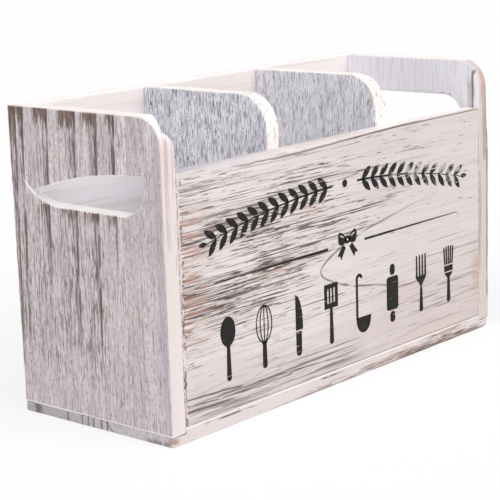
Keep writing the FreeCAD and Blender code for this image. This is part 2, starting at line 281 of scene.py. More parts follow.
def seen_by_eye(finish):
    """1 where the camera looks, straight or by a mirror or through glass, and 0 for other light."""
    straight, mirrored, through = (
        finish.node("LightPath", output=f"Is {kind} Ray") for kind in ("Camera", "Glossy", "Transmission"))
    return straight.most(mirrored).most(through)


floor_paint = new_finish("pale_floor")
matt = floor_paint.node("BsdfDiffuse", None, {"Color": FLOOR_PAINT})
white = floor_paint.node("Emission", None, {"Color": WHITE, "Strength": 1.0})
shown = floor_paint.node(
    "MixShader", None, {0: seen_by_eye(floor_paint) * FLOOR_OWN_WHITE, 1: matt, 2: white})
floor_paint.node("OutputMaterial", None, {"Surface": shown})

turn = np.linspace(0, 2 * np.pi, 64, endpoint=False)
reach = np.array([0.0, 0.5, 1.0])[:, None] * FLOOR_REACH
disc = np.stack([reach * np.cos(turn), reach * np.sin(turn), 0 * reach * turn], axis=-1)
floor = new_piece("floor", [disc])
floor.data.materials.append(floor_paint.owner)

world = bpy.data.worlds.new("studio")
bpy.context.scene.world = world
sky = Finish(world)
glow = sky.node("Background", None, {"Color": SKY, "Strength": SKY_LEVEL})
blank = sky.node("Background", None, {"Color": WHITE, "Strength": 1.0})
sky.node("OutputWorld", None, {
    "Surface": sky.node("MixShader", None, {0: seen_by_eye(sky), 1: glow, 2: blank})})

for lamp in LAMPS:
    data = bpy.data.lights.new(lamp.name, "SUN")
    data.energy = lamp.level
    data.angle = math.radians(lamp.width)
    data.color = LAMP_TINT
    holder = bpy.data.objects.new(lamp.name, data)
    holder.rotation_euler = (math.radians(90 - lamp.height), 0, math.radians(lamp.heading + 180))
    bpy.context.scene.collection.objects.link(holder)
bpy.context.scene.view_settings.view_transform = "Standard"
print("stage set with", len(LAMPS), "lamps")

# %% [markdown]
# A board is one closed surface. Its outline runs round the flat face, and its section runs from the
# middle of one face, over the worn arris, across the narrow edge and over the other arris to the middle
# of the other face. A box with a bevel would be quicker, but its arrises would all be the same: here
# the arris radius wanders along the outline, as on boards that were rubbed down by hand.

# %% Outlines and worn arrises
OUTLINE_STEP = 1.6
ARC_STEPS = 7
RUB_WAVES, RUB_SPREAD = 40, 0.28
KNOCK_WAVES, KNOCK_START, KNOCK_DEPTH = 90, 1.8, 0.7
ARRIS_LEAST, ARRIS_MOST = 0.35, 2.0
ARRIS_TO_BEND = 0.92
Arc = namedtuple("Arc", "centre radius first last")
Outline = namedtuple("Outline", "points inward bend")


def arc_outline(arcs):
    """A closed outline of arcs joined by straight runs, anticlockwise, in millimetres.

    The points of an arc are centre + R (cos t, sin t), with t from its first to its last angle in
    degrees, and a run goes on in even steps to the start of the next arc. Gives the points, their
    inward normals and the radius that holds there.
    """
    points, inward, bend = [], [], []
    for arc, following in zip(arcs, arcs[1:] + arcs[:1]):
        length = arc.radius * math.radians(arc.last - arc.first)
        turn = np.radians(np.linspace(arc.first, arc.last, max(ARC_STEPS, int(length / OUTLINE_STEP))))
        way = np.column_stack([np.cos(turn), np.sin(turn)])
        start_angle = math.radians(following.first)
        start = np.array(following.centre) + following.radius * np.array(
            [math.cos(start_angle), math.sin(start_angle)])
        arc_points = np.array(arc.centre) + arc.radius * way
        run = start - arc_points[-1]
        steps = max(2, int(np.linalg.norm(run) / OUTLINE_STEP))
        share = np.linspace(0, 1, steps, endpoint=False)[1:, None]
        points += [arc_points, arc_points[-1] + run * share]
        inward += [-way, np.repeat(-way[-1:], steps - 1, axis=0)]
        bend += [np.full(len(turn), arc.radius), np.full(steps - 1, np.inf)]
    return Outline(np.vstack(points), np.vstack(inward), np.concatenate(bend))


def rounded_outline(low, high, radii):
    """A rectangle with a quarter circle at each corner, anticlockwise from its low corner."""
    corners = (
        (low[0], low[1], 1, 1), (high[0], low[1], -1, 1),
        (high[0], high[1], -1, -1), (low[0], high[1], 1, -1))
    return arc_outline([
        Arc((u + right * radius, v + up * radius), radius, 180 + 90 * k, 270 + 90 * k)
        for k, ((u, v, right, up), radius) in enumerate(zip(corners, radii))])


def wander(generator, count, waves):
    """A smooth closed random line: a sum of waves, each slower one a little stronger, of spread 1."""
    turn = np.arange(count)[None] * 2 * np.pi / count
    rate = np.arange(1, waves + 1)[:, None]
    phase = generator.uniform(0, 2 * np.pi, (waves, 1))
    line = (np.sin(rate * turn + phase) / np.sqrt(rate + 3)).sum(axis=0)
    return line / line.std()


def worn_radius(generator, outline, mean):
    """The arris radius round an outline: a mean that wanders, with a few deeper knocks."""
    count = len(outline.points)
    rubbed = 1 + RUB_SPREAD * wander(generator, count, RUB_WAVES)
    knocks = np.maximum(wander(generator, count, KNOCK_WAVES) - KNOCK_START, 0) * KNOCK_DEPTH
    radius = np.clip(mean * (rubbed + knocks), ARRIS_LEAST, ARRIS_MOST)
    return np.minimum(radius, ARRIS_TO_BEND * outline.bend)


print("outline maker ready")

# %% Board surfaces
ARRIS_MEAN = 0.6
CUT_DEPTH = 1.5
ARC_ROWS = 5
RIM_ROWS = 5
INSETS = (0.35, 1.0, 2.2, 4.5, 9.0)
INSET_SHARES = (0.08, 0.15, 0.23, 0.32, 0.42)
LEAST_LEAN = 0.05
Row = namedtuple("Row", "points depth arris edge")


def box_in_mm(node):
    """The lowest and the highest corner of a CAD node."""
    return [np.array(corner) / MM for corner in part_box(node)]


def other_axes(flat_axis):
    """The two axes along a board's flat face."""
    return [axis for axis in range(3) if axis != flat_axis]


def face_rows(outline, target, radius, depth):
    """Rows on a flat face, from beside the arris towards the target, a point or another outline.

    Row k lies on the line from the outline to the target, k-th inset away from the arris.
    """
    gap = np.linalg.norm(target - outline.points, axis=1)
    way = (target - outline.points) / gap[:, None]
    lean = np.maximum(np.abs((way * outline.inward).sum(axis=1)), LEAST_LEAN)
    start = np.minimum(radius / lean, 0.5 * gap)
    rows = []
    for inset, share in zip(INSETS, INSET_SHARES):
        step = start + np.minimum(inset / lean, share * (gap - start))
        points = outline.points + way * step[:, None]
        rows.append(Row(points, np.full(len(gap), depth), np.maximum(step * lean - radius, 0), 0 * gap))
    return rows


def arris_rows(outline, radius, wall, face_depth, inward_sign, cut=0.0):
    """A quarter circle from the flat face to the edge: offset r (1 - sin t), depth r (1 - cos t).

    Where cut is 1 the arris is a straight bevel instead: offset r (1 - s), depth r s.
    """
    rows = []
    for share in np.linspace(0, 1, ARC_ROWS):
        turn = share * np.pi / 2
        depth = face_depth + inward_sign * radius * ((1 - np.cos(turn)) * (1 - cut) + share * cut)
        offset = radius * ((1 - np.sin(turn)) * (1 - cut) + (1 - share) * cut)
        points = wall(depth) + outline.inward * offset[:, None]
        rows.append(Row(points, depth, 0 * radius, np.full(len(radius), share)))
    return rows


def rim_rows(wall, low, high):
    """The narrow edge between two arrises, at even depths."""
    rows = []
    for share in np.linspace(0, 1, RIM_ROWS + 2)[1:-1]:
        depth = low + (high - low) * share
        nearest = np.minimum(depth - low, high - depth)
        rows.append(Row(wall(depth), depth, np.abs(nearest), np.ones(len(depth))))
    return rows


def band(outline, wall, thickness, generator, mean, wear=(0.0, 0.0)):
    """The arris, edge and arris of one outline, with the arris radius on either face.

    Wear adds to the two radii where the board was knocked or rubbed, and there the arris is cut straight.
    """
    first, second = (worn_radius(generator, outline, mean) + extra for extra in wear)
    first_cut, second_cut = (np.clip(extra / CUT_DEPTH, 0, 1) for extra in wear)
    rows = arris_rows(outline, first, wall, 0.0, 1, first_cut)
    rows += rim_rows(wall, first, thickness - second)
    rows += arris_rows(outline, second, wall, thickness, -1, second_cut)[::-1]
    return first, second, rows


def pole_row(outline, centre, depth):
    """One point in the middle of a flat face, repeated for every point of the outline."""
    count = len(outline.points)
    from_arris = 2 * INSETS[-1]
    return Row(
        np.tile(centre, (count, 1)), np.full(count, depth), np.full(count, from_arris), np.zeros(count))


def at_angles(outline, centre, angles):
    """The outline where rays at these angles from a centre inside it meet it."""
    away = outline.points - centre
    own = np.arctan2(away[:, 1], away[:, 0])
    order = np.argsort(own)
    fields = np.column_stack([outline.points, outline.inward, np.minimum(outline.bend, 1e3)])
    found = np.column_stack([
        np.interp(angles, own[order], field[order], period=2 * np.pi) for field in fields.T])
    inward = found[:, 2:4] / np.linalg.norm(found[:, 2:4], axis=1)[:, None]
    return Outline(found[:, :2], inward, found[:, 4])


def lofted_wall(low_loop, high_loop, thickness):
    """A wall through a board: at a depth d it is low (1 - d / thickness) + high d / thickness."""
    def wall(depth):
        share = (depth / thickness)[:, None]
        return low_loop.points * (1 - share) + high_loop.points * share
    return wall


def board_piece(node, flat_axis, rows, closed_rows=False):
    """The rows of a board's section as one mesh that stands for a CAD node."""
    low = box_in_mm(node)[0]
    across = other_axes(flat_axis)
    grid = np.empty((len(rows), len(rows[0].points), 3))
    grid[..., across] = np.stack([row.points for row in rows])
    grid[..., flat_axis] = low[flat_axis] + np.stack([row.depth for row in rows])
    piece = new_piece(
        node + "_worn", [grid * MM], closed_rows,
        arris=np.stack([row.arris for row in rows]), edge=np.stack([row.edge for row in rows]))
    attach(piece, BODY)
    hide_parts(node)
    print(piece.name, len(piece.data.polygons), "faces")
    return piece


def new_board(node, flat_axis, radii, seed, slots=None, wear=None):
    """A worn board in the box of a CAD node, with its flat face square to flat_axis.

    The surface is P(u, w), u round the outline and w along the section. A board with a hand slot
    closes on itself through the slot, whose outline is given for the low and the high face. Wear gives
    the extra arris radius on the low and the high face at points of the outline.
    """
    generator = np.random.default_rng(seed)
    low, high = box_in_mm(node)
    across = other_axes(flat_axis)
    thickness = high[flat_axis] - low[flat_axis]
    outline = rounded_outline(low[across], high[across], radii)
    centre = (low[across] + high[across]) / 2
    if slots:
        lower = min(slots, key=lambda slot: np.ptp(slot.points[:, 1]))
        centre = (lower.points.min(axis=0) + lower.points.max(axis=0)) / 2
        loops = (outline, *slots)
        angles = np.concatenate([np.arctan2(*(loop.points - centre).T[::-1]) for loop in loops])
        angles = np.unique(np.round(angles, 4))
        outline = at_angles(outline, centre, angles)
        slots = [at_angles(slot, centre, angles) for slot in slots]
    worn = wear(outline.points) if wear else (0.0, 0.0)
    first, second, rows = band(outline, lambda depth: outline.points, thickness, generator, ARRIS_MEAN, worn)
    targets = [slot.points for slot in slots] if slots else [centre, centre]
    rows = face_rows(outline, targets[0], first, 0.0)[::-1] + rows
    rows += face_rows(outline, targets[1], second, thickness)
    if not slots:
        rows = [pole_row(outline, centre, 0.0)] + rows + [pole_row(outline, centre, thickness)]
        return board_piece(node, flat_axis, rows)
    mouth, back = (Outline(slot.points, -slot.inward, slot.bend) for slot in slots)
    first, second, slot_rows = band(mouth, lofted_wall(*slots, thickness), thickness, generator, ARRIS_MEAN)
    rows += face_rows(back, outline.points, second, thickness)[::-1] + slot_rows[::-1]
    rows += face_rows(mouth, outline.points, first, 0.0)
    return board_piece(node, flat_axis, rows, closed_rows=True)


print("board maker ready")

# %% [markdown]
# The end boards have a rounded corner at the front and a hand slot below the top edge. The left slot is
# a half moon whose back wall is flared, so that it looks thin from the front; the right one is a plain
# slot with round ends. The dividers repeat the rounded corner with a larger radius.

# %% Upright boards
EASED = 1.0
END_CORNER = 13.0
DIVIDER_CORNER = 17.0
SLOT_FOOT = 104.2
SLOT_TOP = 130.6
SLOT_HALF_LENGTH = 38.5
MOON_FRONT_MARGIN = 11.0
MOON_LENGTH = 73.4
MOON_HEIGHT = 18.9
MOON_TIP_HEIGHT = 5.8
MOON_FLOOR_LENGTH = 39.5
MOON_FRONT_RADIUS = 15.0
MOON_TIP_RADIUS = 1.5
MOON_FLARE = 8.0


def level_arc_radius(along, up):
    """The radius of an arc that starts level and passes a point this far along and up."""
    return (along ** 2 + up ** 2) / (2 * up)


def touching_centre(first, first_reach, second, second_reach):
    """The point at these distances from two centres, on the right of the way from the first."""
    way = second - first
    gap = np.linalg.norm(way)
    along = (first_reach ** 2 - second_reach ** 2 + gap ** 2) / (2 * gap)
    aside = math.sqrt(first_reach ** 2 - along ** 2)
    right = np.array([way[1], -way[0]]) / gap
    return first + way / gap * along - right * aside


def degrees_from(centre, point):
    """The angle at which a point lies from a centre, from 0 to 360."""
    return math.degrees(math.atan2(point[1] - centre[1], point[0] - centre[0])) % 360


def half_moon(front, flare):
    """A floor, an arc up to the tip at the back, a wide arc on to the front and a front arc.

    Both arcs start level, one at the floor and one at the top of the front. The small circle of the tip
    lies inside them and touches both, so it is the difference of the radii away from their centres.
    """
    foot, top, tip_radius = SLOT_FOOT, SLOT_FOOT + MOON_HEIGHT, MOON_TIP_RADIUS
    front_centre = (front + MOON_FRONT_RADIUS, foot + MOON_FRONT_RADIUS)
    floor_end = front_centre[0] + MOON_FLOOR_LENGTH + flare
    tip = front + MOON_LENGTH + flare
    back_radius = level_arc_radius(tip - floor_end, MOON_TIP_HEIGHT)
    upper_radius = level_arc_radius(tip - front - tip_radius, MOON_HEIGHT - MOON_TIP_HEIGHT)
    back_centre = np.array([floor_end, foot + back_radius])
    upper_centre = np.array([front + tip_radius, top - upper_radius])
    tip_centre = touching_centre(
        back_centre, back_radius - tip_radius, upper_centre, upper_radius - tip_radius)
    tip_first = degrees_from(back_centre, tip_centre)
    tip_last = degrees_from(upper_centre, tip_centre)
    return arc_outline([
        Arc(front_centre, MOON_FRONT_RADIUS, 180, 270),
        Arc(back_centre, back_radius, 270, tip_first),
        Arc(tip_centre, tip_radius, tip_first, 360 + tip_last),
        Arc(upper_centre, upper_radius, tip_last, 90),
        Arc((front + tip_radius, top - tip_radius), tip_radius, 90, 180)])


slot_radius = (SLOT_TOP - SLOT_FOOT) / 2
long_slot = rounded_outline(
    (-SLOT_HALF_LENGTH, SLOT_FOOT), (SLOT_HALF_LENGTH, SLOT_TOP), (slot_radius,) * 4)
moon_front = cad_box[0][Y_AXIS] / MM + MOON_FRONT_MARGIN
moon_slots = [half_moon(moon_front, flare) for flare in (0.0, MOON_FLARE)]
end_radii = (EASED, EASED, EASED, END_CORNER)
divider_radii = (EASED, EASED, EASED, DIVIDER_CORNER)
print("slot outlines:", [len(slot.points) for slot in (*moon_slots, long_slot)], "points")

# %% [markdown]
# Three edges are worn far more than the rest. The left board has lost a splinter on the inner side of
# its rounded corner, the right board is rubbed down outside its corner, and the front panel's top edge
# slopes away towards its left half, where hands reach in. Each is a depth along the outline that the
# arris takes up as a bevel.

# %% Knocked and rubbed edges
SPLINTER_TURNS = (0, 12, 22, 27, 30, 41, 57, 67, 80, 92)
SPLINTER_DEPTHS = (0, 1.2, 2.9, 4.0, 6.4, 5.8, 3.7, 3.0, 1.2, 0)
RUBBED_LEVELS = (100, 113, 125, 140, 147, 150)
RUBBED_DEPTHS = (0, 0.7, 1.5, 2.4, 3.2, 2.0)
TOP_RUB = 2.7
TOP_RUB_BACK = 0.8
TOP_RUB_END = 40.0
TOP_RUB_FROM, TOP_RUB_FULL = 55.0, -60.0
CORNER_FADE = 3.0


def smooth_step(share):
    """0 below 0, 1 above 1 and a smooth step between: s^2 (3 - 2 s)."""
    share = np.clip(share, 0, 1)
    return share ** 2 * (3 - 2 * share)


def splintered(points):
    """A depth on the inner face by the turn round the corner: 0 degrees in front and 90 on top."""
    centre = np.array([cad_box[0][Y_AXIS], cad_box[1][Z_AXIS]]) / MM + (END_CORNER, -END_CORNER)
    away = points - centre
    turn = np.degrees(np.arctan2(away[:, 1], -away[:, 0]))
    return 0.0, np.interp(turn, SPLINTER_TURNS, SPLINTER_DEPTHS)


def rubbed_corner(points):
    """A depth on the outer face by the height, only along the front edge and its corner."""
    in_front = np.clip((cad_box[0][Y_AXIS] / MM + END_CORNER - points[:, 0]) / CORNER_FADE, 0, 1)
    return 0.0, np.interp(points[:, 1], RUBBED_LEVELS, RUBBED_DEPTHS) * in_front


def rubbed_top(points):
    """A depth along the top that grows from right to left with a smooth step and ends at the corner."""
    share = smooth_step((TOP_RUB_FROM - points[:, 0]) / (TOP_RUB_FROM - TOP_RUB_FULL))
    free = smooth_step((points[:, 0] - points[:, 0].min() - EASED) / TOP_RUB_END)
    depth = share * free * np.isclose(points[:, 1], points[:, 1].max())
    return TOP_RUB * depth, TOP_RUB_BACK * depth


left_end = new_board("left_end_board", X_AXIS, end_radii, 11, moon_slots, splintered)
right_end = new_board("right_end_board", X_AXIS, end_radii, 12, [long_slot, long_slot], rubbed_corner)
left_divider = new_board("left_divider", X_AXIS, divider_radii, 13)
right_divider = new_board("right_divider", X_AXIS, divider_radii, 14)
front_panel = new_board("front_panel", Y_AXIS, (EASED,) * 4, 15, wear=rubbed_top)
back_panel = new_board("back_panel", Y_AXIS, (EASED,) * 4, 16)

# %% [markdown]
# The base is stepped at its two ends, where the end boards stand in. Its section goes up the low rim,
# over a lip at the ends only, along the shelf of the step and up the riser to the top face. Along the
# front and the back the lip and the shelf shrink to nothing, so one grid serves all round.

# %% Base board
BASE_CORNERS = (2.5, 2.8, 1.5, 1.2)
BASE_LIP = 0.5
FOOT_WEAR = 3.2
SHELF_ARRIS = 2.0
NEAR = 0.01


def new_base(node, seed):
    """The stepped base: outline O at the rim, and O with x held between the end boards above it."""
    generator = np.random.default_rng(seed)
    low, high = box_in_mm(node)
    step_level = box_in_mm("left_end_board")[0][Z_AXIS] - low[Z_AXIS]
    step_reach = box_in_mm("front_panel")[1][X_AXIS]
    thickness = high[Z_AXIS] - low[Z_AXIS]
    outline = rounded_outline(low[:2], high[:2], BASE_CORNERS)
    held = np.column_stack([np.clip(outline.points[:, 0], -step_reach, step_reach), outline.points[:, 1]])
    upper = Outline(held, outline.inward, outline.bend)
    at_end = np.abs(outline.points[:, 0]) > step_reach + NEAR
    foot = worn_radius(generator, outline, ARRIS_MEAN)
    worn_end = np.clip((outline.points[:, 0] - step_reach) / (high[0] - step_reach), 0, 1) ** 2
    foot = np.minimum(foot + (FOOT_WEAR - foot) * worn_end, ARRIS_TO_BEND * outline.bend)
    lip = np.where(at_end, BASE_LIP, 0.0)
    top = np.where(at_end, BASE_LIP, worn_radius(generator, outline, ARRIS_MEAN))
    centre = (low[:2] + high[:2]) / 2
    rows = [pole_row(outline, centre, 0.0)] + face_rows(outline, centre, foot, 0.0)[::-1]
    rows += arris_rows(outline, foot, lambda depth: outline.points, 0.0, 1)
    rows += rim_rows(lambda depth: outline.points, foot, step_level - lip)
    rows += arris_rows(outline, lip, lambda depth: outline.points, step_level, -1)[::-1]
    shelf = np.full(len(held), step_level)
    rows.append(Row(held, shelf, np.full(len(held), SHELF_ARRIS), np.ones(len(held))))
    rows += rim_rows(lambda depth: held, shelf, thickness - top)
    rows += arris_rows(upper, top, lambda depth: held, thickness, -1)[::-1]
    rows += face_rows(upper, centre, top, thickness) + [pole_row(outline, centre, thickness)]
    return board_piece(node, Z_AXIS, rows)


base_board = new_base("base_board", 17)

# %% [markdown]
# The finish is a thin white wash over brown wood, rubbed back until the pores and the wear show. It is
# solid: the grain is noise drawn out along the board's length, so faces, edges and end grain agree.
# A texture photo would look right from one side only. Each finish is a stack of layers: a tone, how
# far it covers what is below, and how deep it lies. A coat is a layer of broken strokes.

# %% Layers of wash and wear
Coat = namedtuple("Coat", "tone along across start soft cover depth more", defaults=(0.0, 0.0))
CRISP = (3, 0.6)
UMBER = (122, 90, 78)
PORE = (72, 62, 60)
WHITE_EDGE = (252, 247, 245)
MATT, PANEL_MATT = 0.62, 0.6
ROUGHNESS_SPREAD = 0.2


class Wood(Finish):
    """A whitewashed board, built up in layers of colour and relief."""

    def __init__(self, name, grain, seed, wash):
        super().__init__(bpy.data.materials.new(name))
        self.grain = grain
        self.seed = seed
        self.place, *self.axes = self.millimetres()
        self.edge = self.attribute("edge")
        self.arris = self.attribute("arris")
        self.shade = wash
        self.relief = self.grained(30, 1.2) * 0.06

    def grained(self, along, across, detail=2.0, roughness=0.5):
        """Noise drawn out along the grain: blobs of these lengths in millimetres, new for each call."""
        self.seed += 1
        factors = [1 / across] * 3
        factors[self.grain] = 1 / along
        shift = (self.seed * 3.7, self.seed * 7.3, self.seed * 5.9)
        return self.noise(self.scaled(self.place, factors, shift), detail, roughness)

    def sway(self, along, across, reach):
        """How far a line wanders from its place: the noise about its middle, times a reach in mm."""
        return (self.grained(along, across) - 0.5) * reach

    def crumbs(self, factors, detail, roughness, shift=(0, 0, 0)):
        """Noise with a blob per so many millimetres on each axis, whatever way the grain runs."""
        return self.noise(self.scaled(self.place, factors, shift), detail, roughness)

    def strokes(self, along, across, start, more=0.0, soft=0.06):
        """Broken strokes along the grain: 1 where crisp noise passes a start, and more bares more."""
        return (self.grained(along, across, *CRISP) - start + more).rise(0.0, soft)

    def layer(self, tone, cover, depth=0.0):
        """Lays a tone over the board where cover is 1, sunk by a depth in millimetres."""
        self.shade = self.mix(self.shade, tone, cover)
        if depth:
            self.relief = self.relief - cover * depth

    def brush(self, coats, where=1.0, bared=0.0):
        """Lays coats one over the other where a mask lets them, with more strokes where wood is bared."""
        for coat in coats:
            strokes = self.strokes(coat.along, coat.across, coat.start, bared * coat.more, coat.soft)
            self.layer(coat.tone, strokes * where * coat.cover, coat.depth)

    def spot(self, centre, reach):
        """1 at a place in millimetres, fading to 0 at this reach along X, Y and Z."""
        factors = tuple(1 / r for r in reach)
        shift = tuple(-c / r for c, r in zip(centre, reach))
        away = self.node("VectorMath", {"operation": "LENGTH"}, {
            0: self.scaled(self.place, factors, shift)}, output="Value")
        return away.rise(1.0, 0.2)

    def rub_arrises(self, tone, amount, reach=0.14):
        """Bares the wood in patches along the arrises, less with every millimetre away from them."""
        wear = self.grained(6, 2.2, 3, 0.65)
        self.layer(tone, (wear - (0.66 - amount) - self.arris * reach).rise(0.0, 0.06) * 0.8, 0.05)

    def close(self, roughness=MATT):
        """Joins the layers in a matt surface with their relief."""
        bump = self.node("Bump", None, {"Strength": 0.7, "Distance": MM, "Height": self.relief})
        uneven = (self.grained(12, 2) - 0.5) * ROUGHNESS_SPREAD + roughness
        return self.principled({
            "Base Color": self.shade, "Roughness": uneven, "Specular IOR Level": 0.35, "Normal": bump})


print("wood layers ready")

# %% [markdown]
# The end boards stand on end, so their grain is upright. The outer faces show the growth rings as
# upright bands, each dark at its front edge and fading towards the back, where the wash was rubbed off
# the hard wood. Below the top edge and below the slot the bands end in bare brown caps. The inner faces
# are smoother and paler.

# %% Growth rings
Ring = namedtuple("Ring", "edge width foot")
RINGS = (
    Ring(43.8, 4.5, 20), Ring(38.8, 7.0, 18), Ring(22.0, 12.0, 55),
    Ring(3.4, 14.0, 28), Ring(-10.6, 12.0, 26), Ring(-22.0, 7.0, 75))
RING_LEAN = 0.03
BOARD_TOP = cad_box[1][Z_AXIS] / MM
BROAD_WEAR = Coat((134, 118, 114), 120, 1.8, 0.66, 0.10, 0.55, 0.05, 0.20)
RING_PORES = Coat(PORE, 14, 0.85, 0.70, 0.05, 0.80, 0.08, 0.18)
CAP_COATS = (
    Coat((62, 48, 44), 16, 0.8, 0.57, 0.05, 0.8, 0.05),
    Coat((184, 166, 160), 24, 0.9, 0.60, 0.06, 0.6))


def growth_rings(wood):
    """The shade of the rings, dark at the front edge and fading over the width, and their edge lines."""
    _, y, z = wood.axes
    across = y + (z - BOARD_TOP) * RING_LEAN + wood.sway(90, 60, 3)
    shades, lines = [], []
    for ring in RINGS:
        lasting = z.rise(ring.foot - 10, ring.foot + 35)
        share = (across - ring.edge) / ring.width
        shades.append(share.rise(-0.02, 0.04) * share.rise(1.1, 0.0) * lasting)
        lines.append(abs(across - (ring.edge + 0.7)).rise(1.0, 0.3) * lasting)
    return reduce(Signal.most, shades), reduce(Signal.most, lines)


def wear_rings(wood, outside):
    """Bares the rings in streaks, edge lines and brown caps, and the back corner and edge with them."""
    _, y, z = wood.axes
    shade, lines = growth_rings(wood)
    bare = shade * outside
    wood.brush([BROAD_WEAR], outside, bare)
    streak = wood.grained(26, 0.9, *CRISP)
    wood.layer((124, 106, 101), (streak - 0.66 + bare * 0.14).rise(0.0, 0.08) * outside * 0.7, 0.06)
    wood.brush([RING_PORES], outside, bare)
    broken = wood.grained(16, 2.5, 3).rise(0.36, 0.50)
    wood.layer((88, 73, 68), lines * broken * outside * 0.75, 0.08)
    fringe = wood.grained(12, 0.9, *CRISP)
    below_slot = z.rise(90, 104) * z.rise(105.5, 104.5) * y.within(-24, 30, 4)
    bared = z.rise(136, 149.5).most(below_slot * 0.75)
    caps = (fringe - 0.72 + bared * 0.44).rise(0.0, 0.10) * bare.rise(0.03, 0.25)
    wood.layer((110, 86, 78), caps * 0.85, 0.05)
    wood.brush(CAP_COATS, caps)
    back_corner = y.rise(42, 47) * z.rise(108, 130) * outside
    wood.layer((98, 76, 68), (fringe - 0.42).rise(0.0, 0.12) * back_corner * 0.85, 0.04)
    back_strip = y.rise(46.0, 48.0) * z.rise(18, 50) * outside
    wood.layer(UMBER, (streak - 0.44).rise(0.0, 0.10) * back_strip * 0.8, 0.04)


print("growth rings:", len(RINGS))

# %% Wash of the end boards
STILE = (226, 215, 213)
SLOT_RIM_PAINTED_LIGHT = (255, 252, 251)
INNER_GREY = Coat((226, 226, 236), 22, 1.0, 0.49, 0.14, 0.8)
LOWER_BACK = Coat((104, 94, 94), 9, 0.9, 0.66, 0.05, 0.75, 0.05, 0.115)
OUTER_COATS = (
    Coat((148, 139, 142), 24, 0.85, 0.53, 0.08, 0.70, 0.03),
    Coat((138, 129, 131), 5, 0.85, 0.57, 0.06, 0.65, 0.03),
    Coat((234, 226, 229), 34, 0.9, 0.60, 0.10, 0.55),
    Coat((136, 127, 129), 2.6, 0.75, 0.55, 0.05, 0.50, 0.02),
    Coat((238, 230, 232), 3.2, 0.75, 0.57, 0.05, 0.40))


def end_finish(name, seed, outer_side):
    """Upright grain with rings outside and a smoother, paler wash inside, under white edges; the slot's rim
    is painted whiter as light, and a painted highlight runs along the outer foot.
    """
    wood = Wood(name, Z_AXIS, seed, (251, 250, 255))
    x, y, z = wood.axes
    outside = (x * outer_side).rise(122, 128)
    wood.brush([INNER_GREY])
    wood.layer(wood.mix((214, 205, 208), (229, 219, 221), z.rise(96, 126)), outside)
    wood.layer((197, 189, 194), wood.grained(70, 7).rise(0.42, 0.60) * outside * 0.8)
    wood.layer((210, 198, 190), wood.grained(60, 5).rise(0.54, 0.72) * outside * 0.5)
    wood.brush(OUTER_COATS, outside)
    wood.brush([LOWER_BACK], outside, z.rise(104, 84) * z.rise(14, 34) * y.rise(-22, -6) * outside)
    wear_rings(wood, outside)
    wood.layer((176, 170, 178), y.rise(-42, -47) * outside * 0.35)
    wood.layer(wood.mix(WHITE_EDGE, STILE, z.rise(147, 134) * y.rise(-44, -47)), wood.edge * 0.95)
    # The slot's rim is painted whiter than the wash: painted light, because the rim lies in the slot's
    # shade.
    wood.layer(SLOT_RIM_PAINTED_LIGHT, z.within(103, 131.5, 1) * y.within(-43, 44, 1) * wood.edge * 0.9)
    # A painted highlight along the bottom edge of the outer face, above the joint with the base.
    wood.layer((248, 242, 242), z.rise(6.0, 5.4) * outside * 0.7)
    wood.rub_arrises(UMBER, -0.03)
    return wood


print("coats on an outer face:", len(OUTER_COATS))

# %% Marks on the end boards
TIP_ARC_CENTRE = (16.0, 137.9)
TIP_ARC_RADIUS = 33.7
STRIPE_COATS = (
    Coat((200, 185, 183), 30, 0.8, 0.42, 0.12, 0.85, 0.04),
    Coat((212, 180, 154), 26, 0.7, 0.55, 0.08, 0.80, 0.04))
Strip = namedtuple("Strip", "tone near low high")
STRIPS = (
    Strip((196, 166, 144), 122.0, 132, 143),
    Strip((172, 155, 149), 123.4, 98, 134),
    Strip((146, 128, 124), 126.8, 20, 118))


def mark_left(wood):
    """A pale line that carries the slot's arc on past its tip, and a worn stripe and a seam down the front
    edge.
    """
    x, y, z = wood.axes
    across, up = y - TIP_ARC_CENTRE[0], z - TIP_ARC_CENTRE[1]
    from_arc = abs((across * across + up * up).math("SQRT") - TIP_ARC_RADIUS)
    pale_arc_line = from_arc.rise(1.3, 0.4) * y.within(34.5, 38, 5) * z.rise(121, 116)
    wood.layer((250, 242, 240), pale_arc_line * x.rise(-128, -129) * 0.8)
    stile = y.rise(-47.5, -49)
    wood.brush(STRIPE_COATS, x.within(-127.2, -125.2, 0.5) * z.within(96, 138, 10) * stile)
    seam = abs(x + 122.3).rise(0.55, 0.2) * z.within(84, 136, 6) * stile
    wood.layer((184, 168, 163), seam * wood.grained(14, 2, 3).rise(0.36, 0.5) * 0.65, 0.04)


def mark_right(wood):
    """Three worn strips and a worn foot on the front edge, and a smear, a line and a knot inside it."""
    x, y, z = wood.axes
    wood.layer((205, 193, 190), wood.edge * y.rise(-36, -42) * 0.9)
    rubbed = wood.strokes(14, 1.2, 0.32, soft=0.16) * y.rise(-42, -46)
    for strip in STRIPS:
        worn = x.rise(strip.near, strip.near + 1.2) * z.within(strip.low, strip.high, 5)
        wood.layer(strip.tone, worn * rubbed * 0.9, 0.05)
    wood.layer((170, 142, 124), wood.spot((121, -49.5, 62), (2.5, 4, 44)) * rubbed * 0.7, 0.05)
    inner_face = x.rise(122, 121)
    wobble = y + wood.sway(9, 4, 1.6)
    smear = wobble.within(-44.6, -43.2, 2.4) * z.within(124, 136, 7)
    wood.layer((196, 182, 178), smear * inner_face * 0.75)
    inner_line = abs(wobble + 45.4).rise(1.0, 0.3) * z.within(120, 143.5, 1.5)
    knot_mark = wood.spot((120.5, -46.2, 144), (4, 1.8, 1.8))
    wood.layer((112, 106, 110), inner_line.most(knot_mark) * inner_face * 0.85, 0.06)


left_wash = end_finish("left_end_wash", 100, -1)
mark_left(left_wash)
left_end.data.materials.append(left_wash.close())
right_wash = end_finish("right_end_wash", 200, 1)
mark_right(right_wash)
right_end.data.materials.append(right_wash.close())
print("end boards finished")

# %% [markdown]
# The dividers are a cooler, blue grey, with short dense upright strokes: the wash lies in the pores.
# Their top edges are rubbed round and show flecks of bare wood.

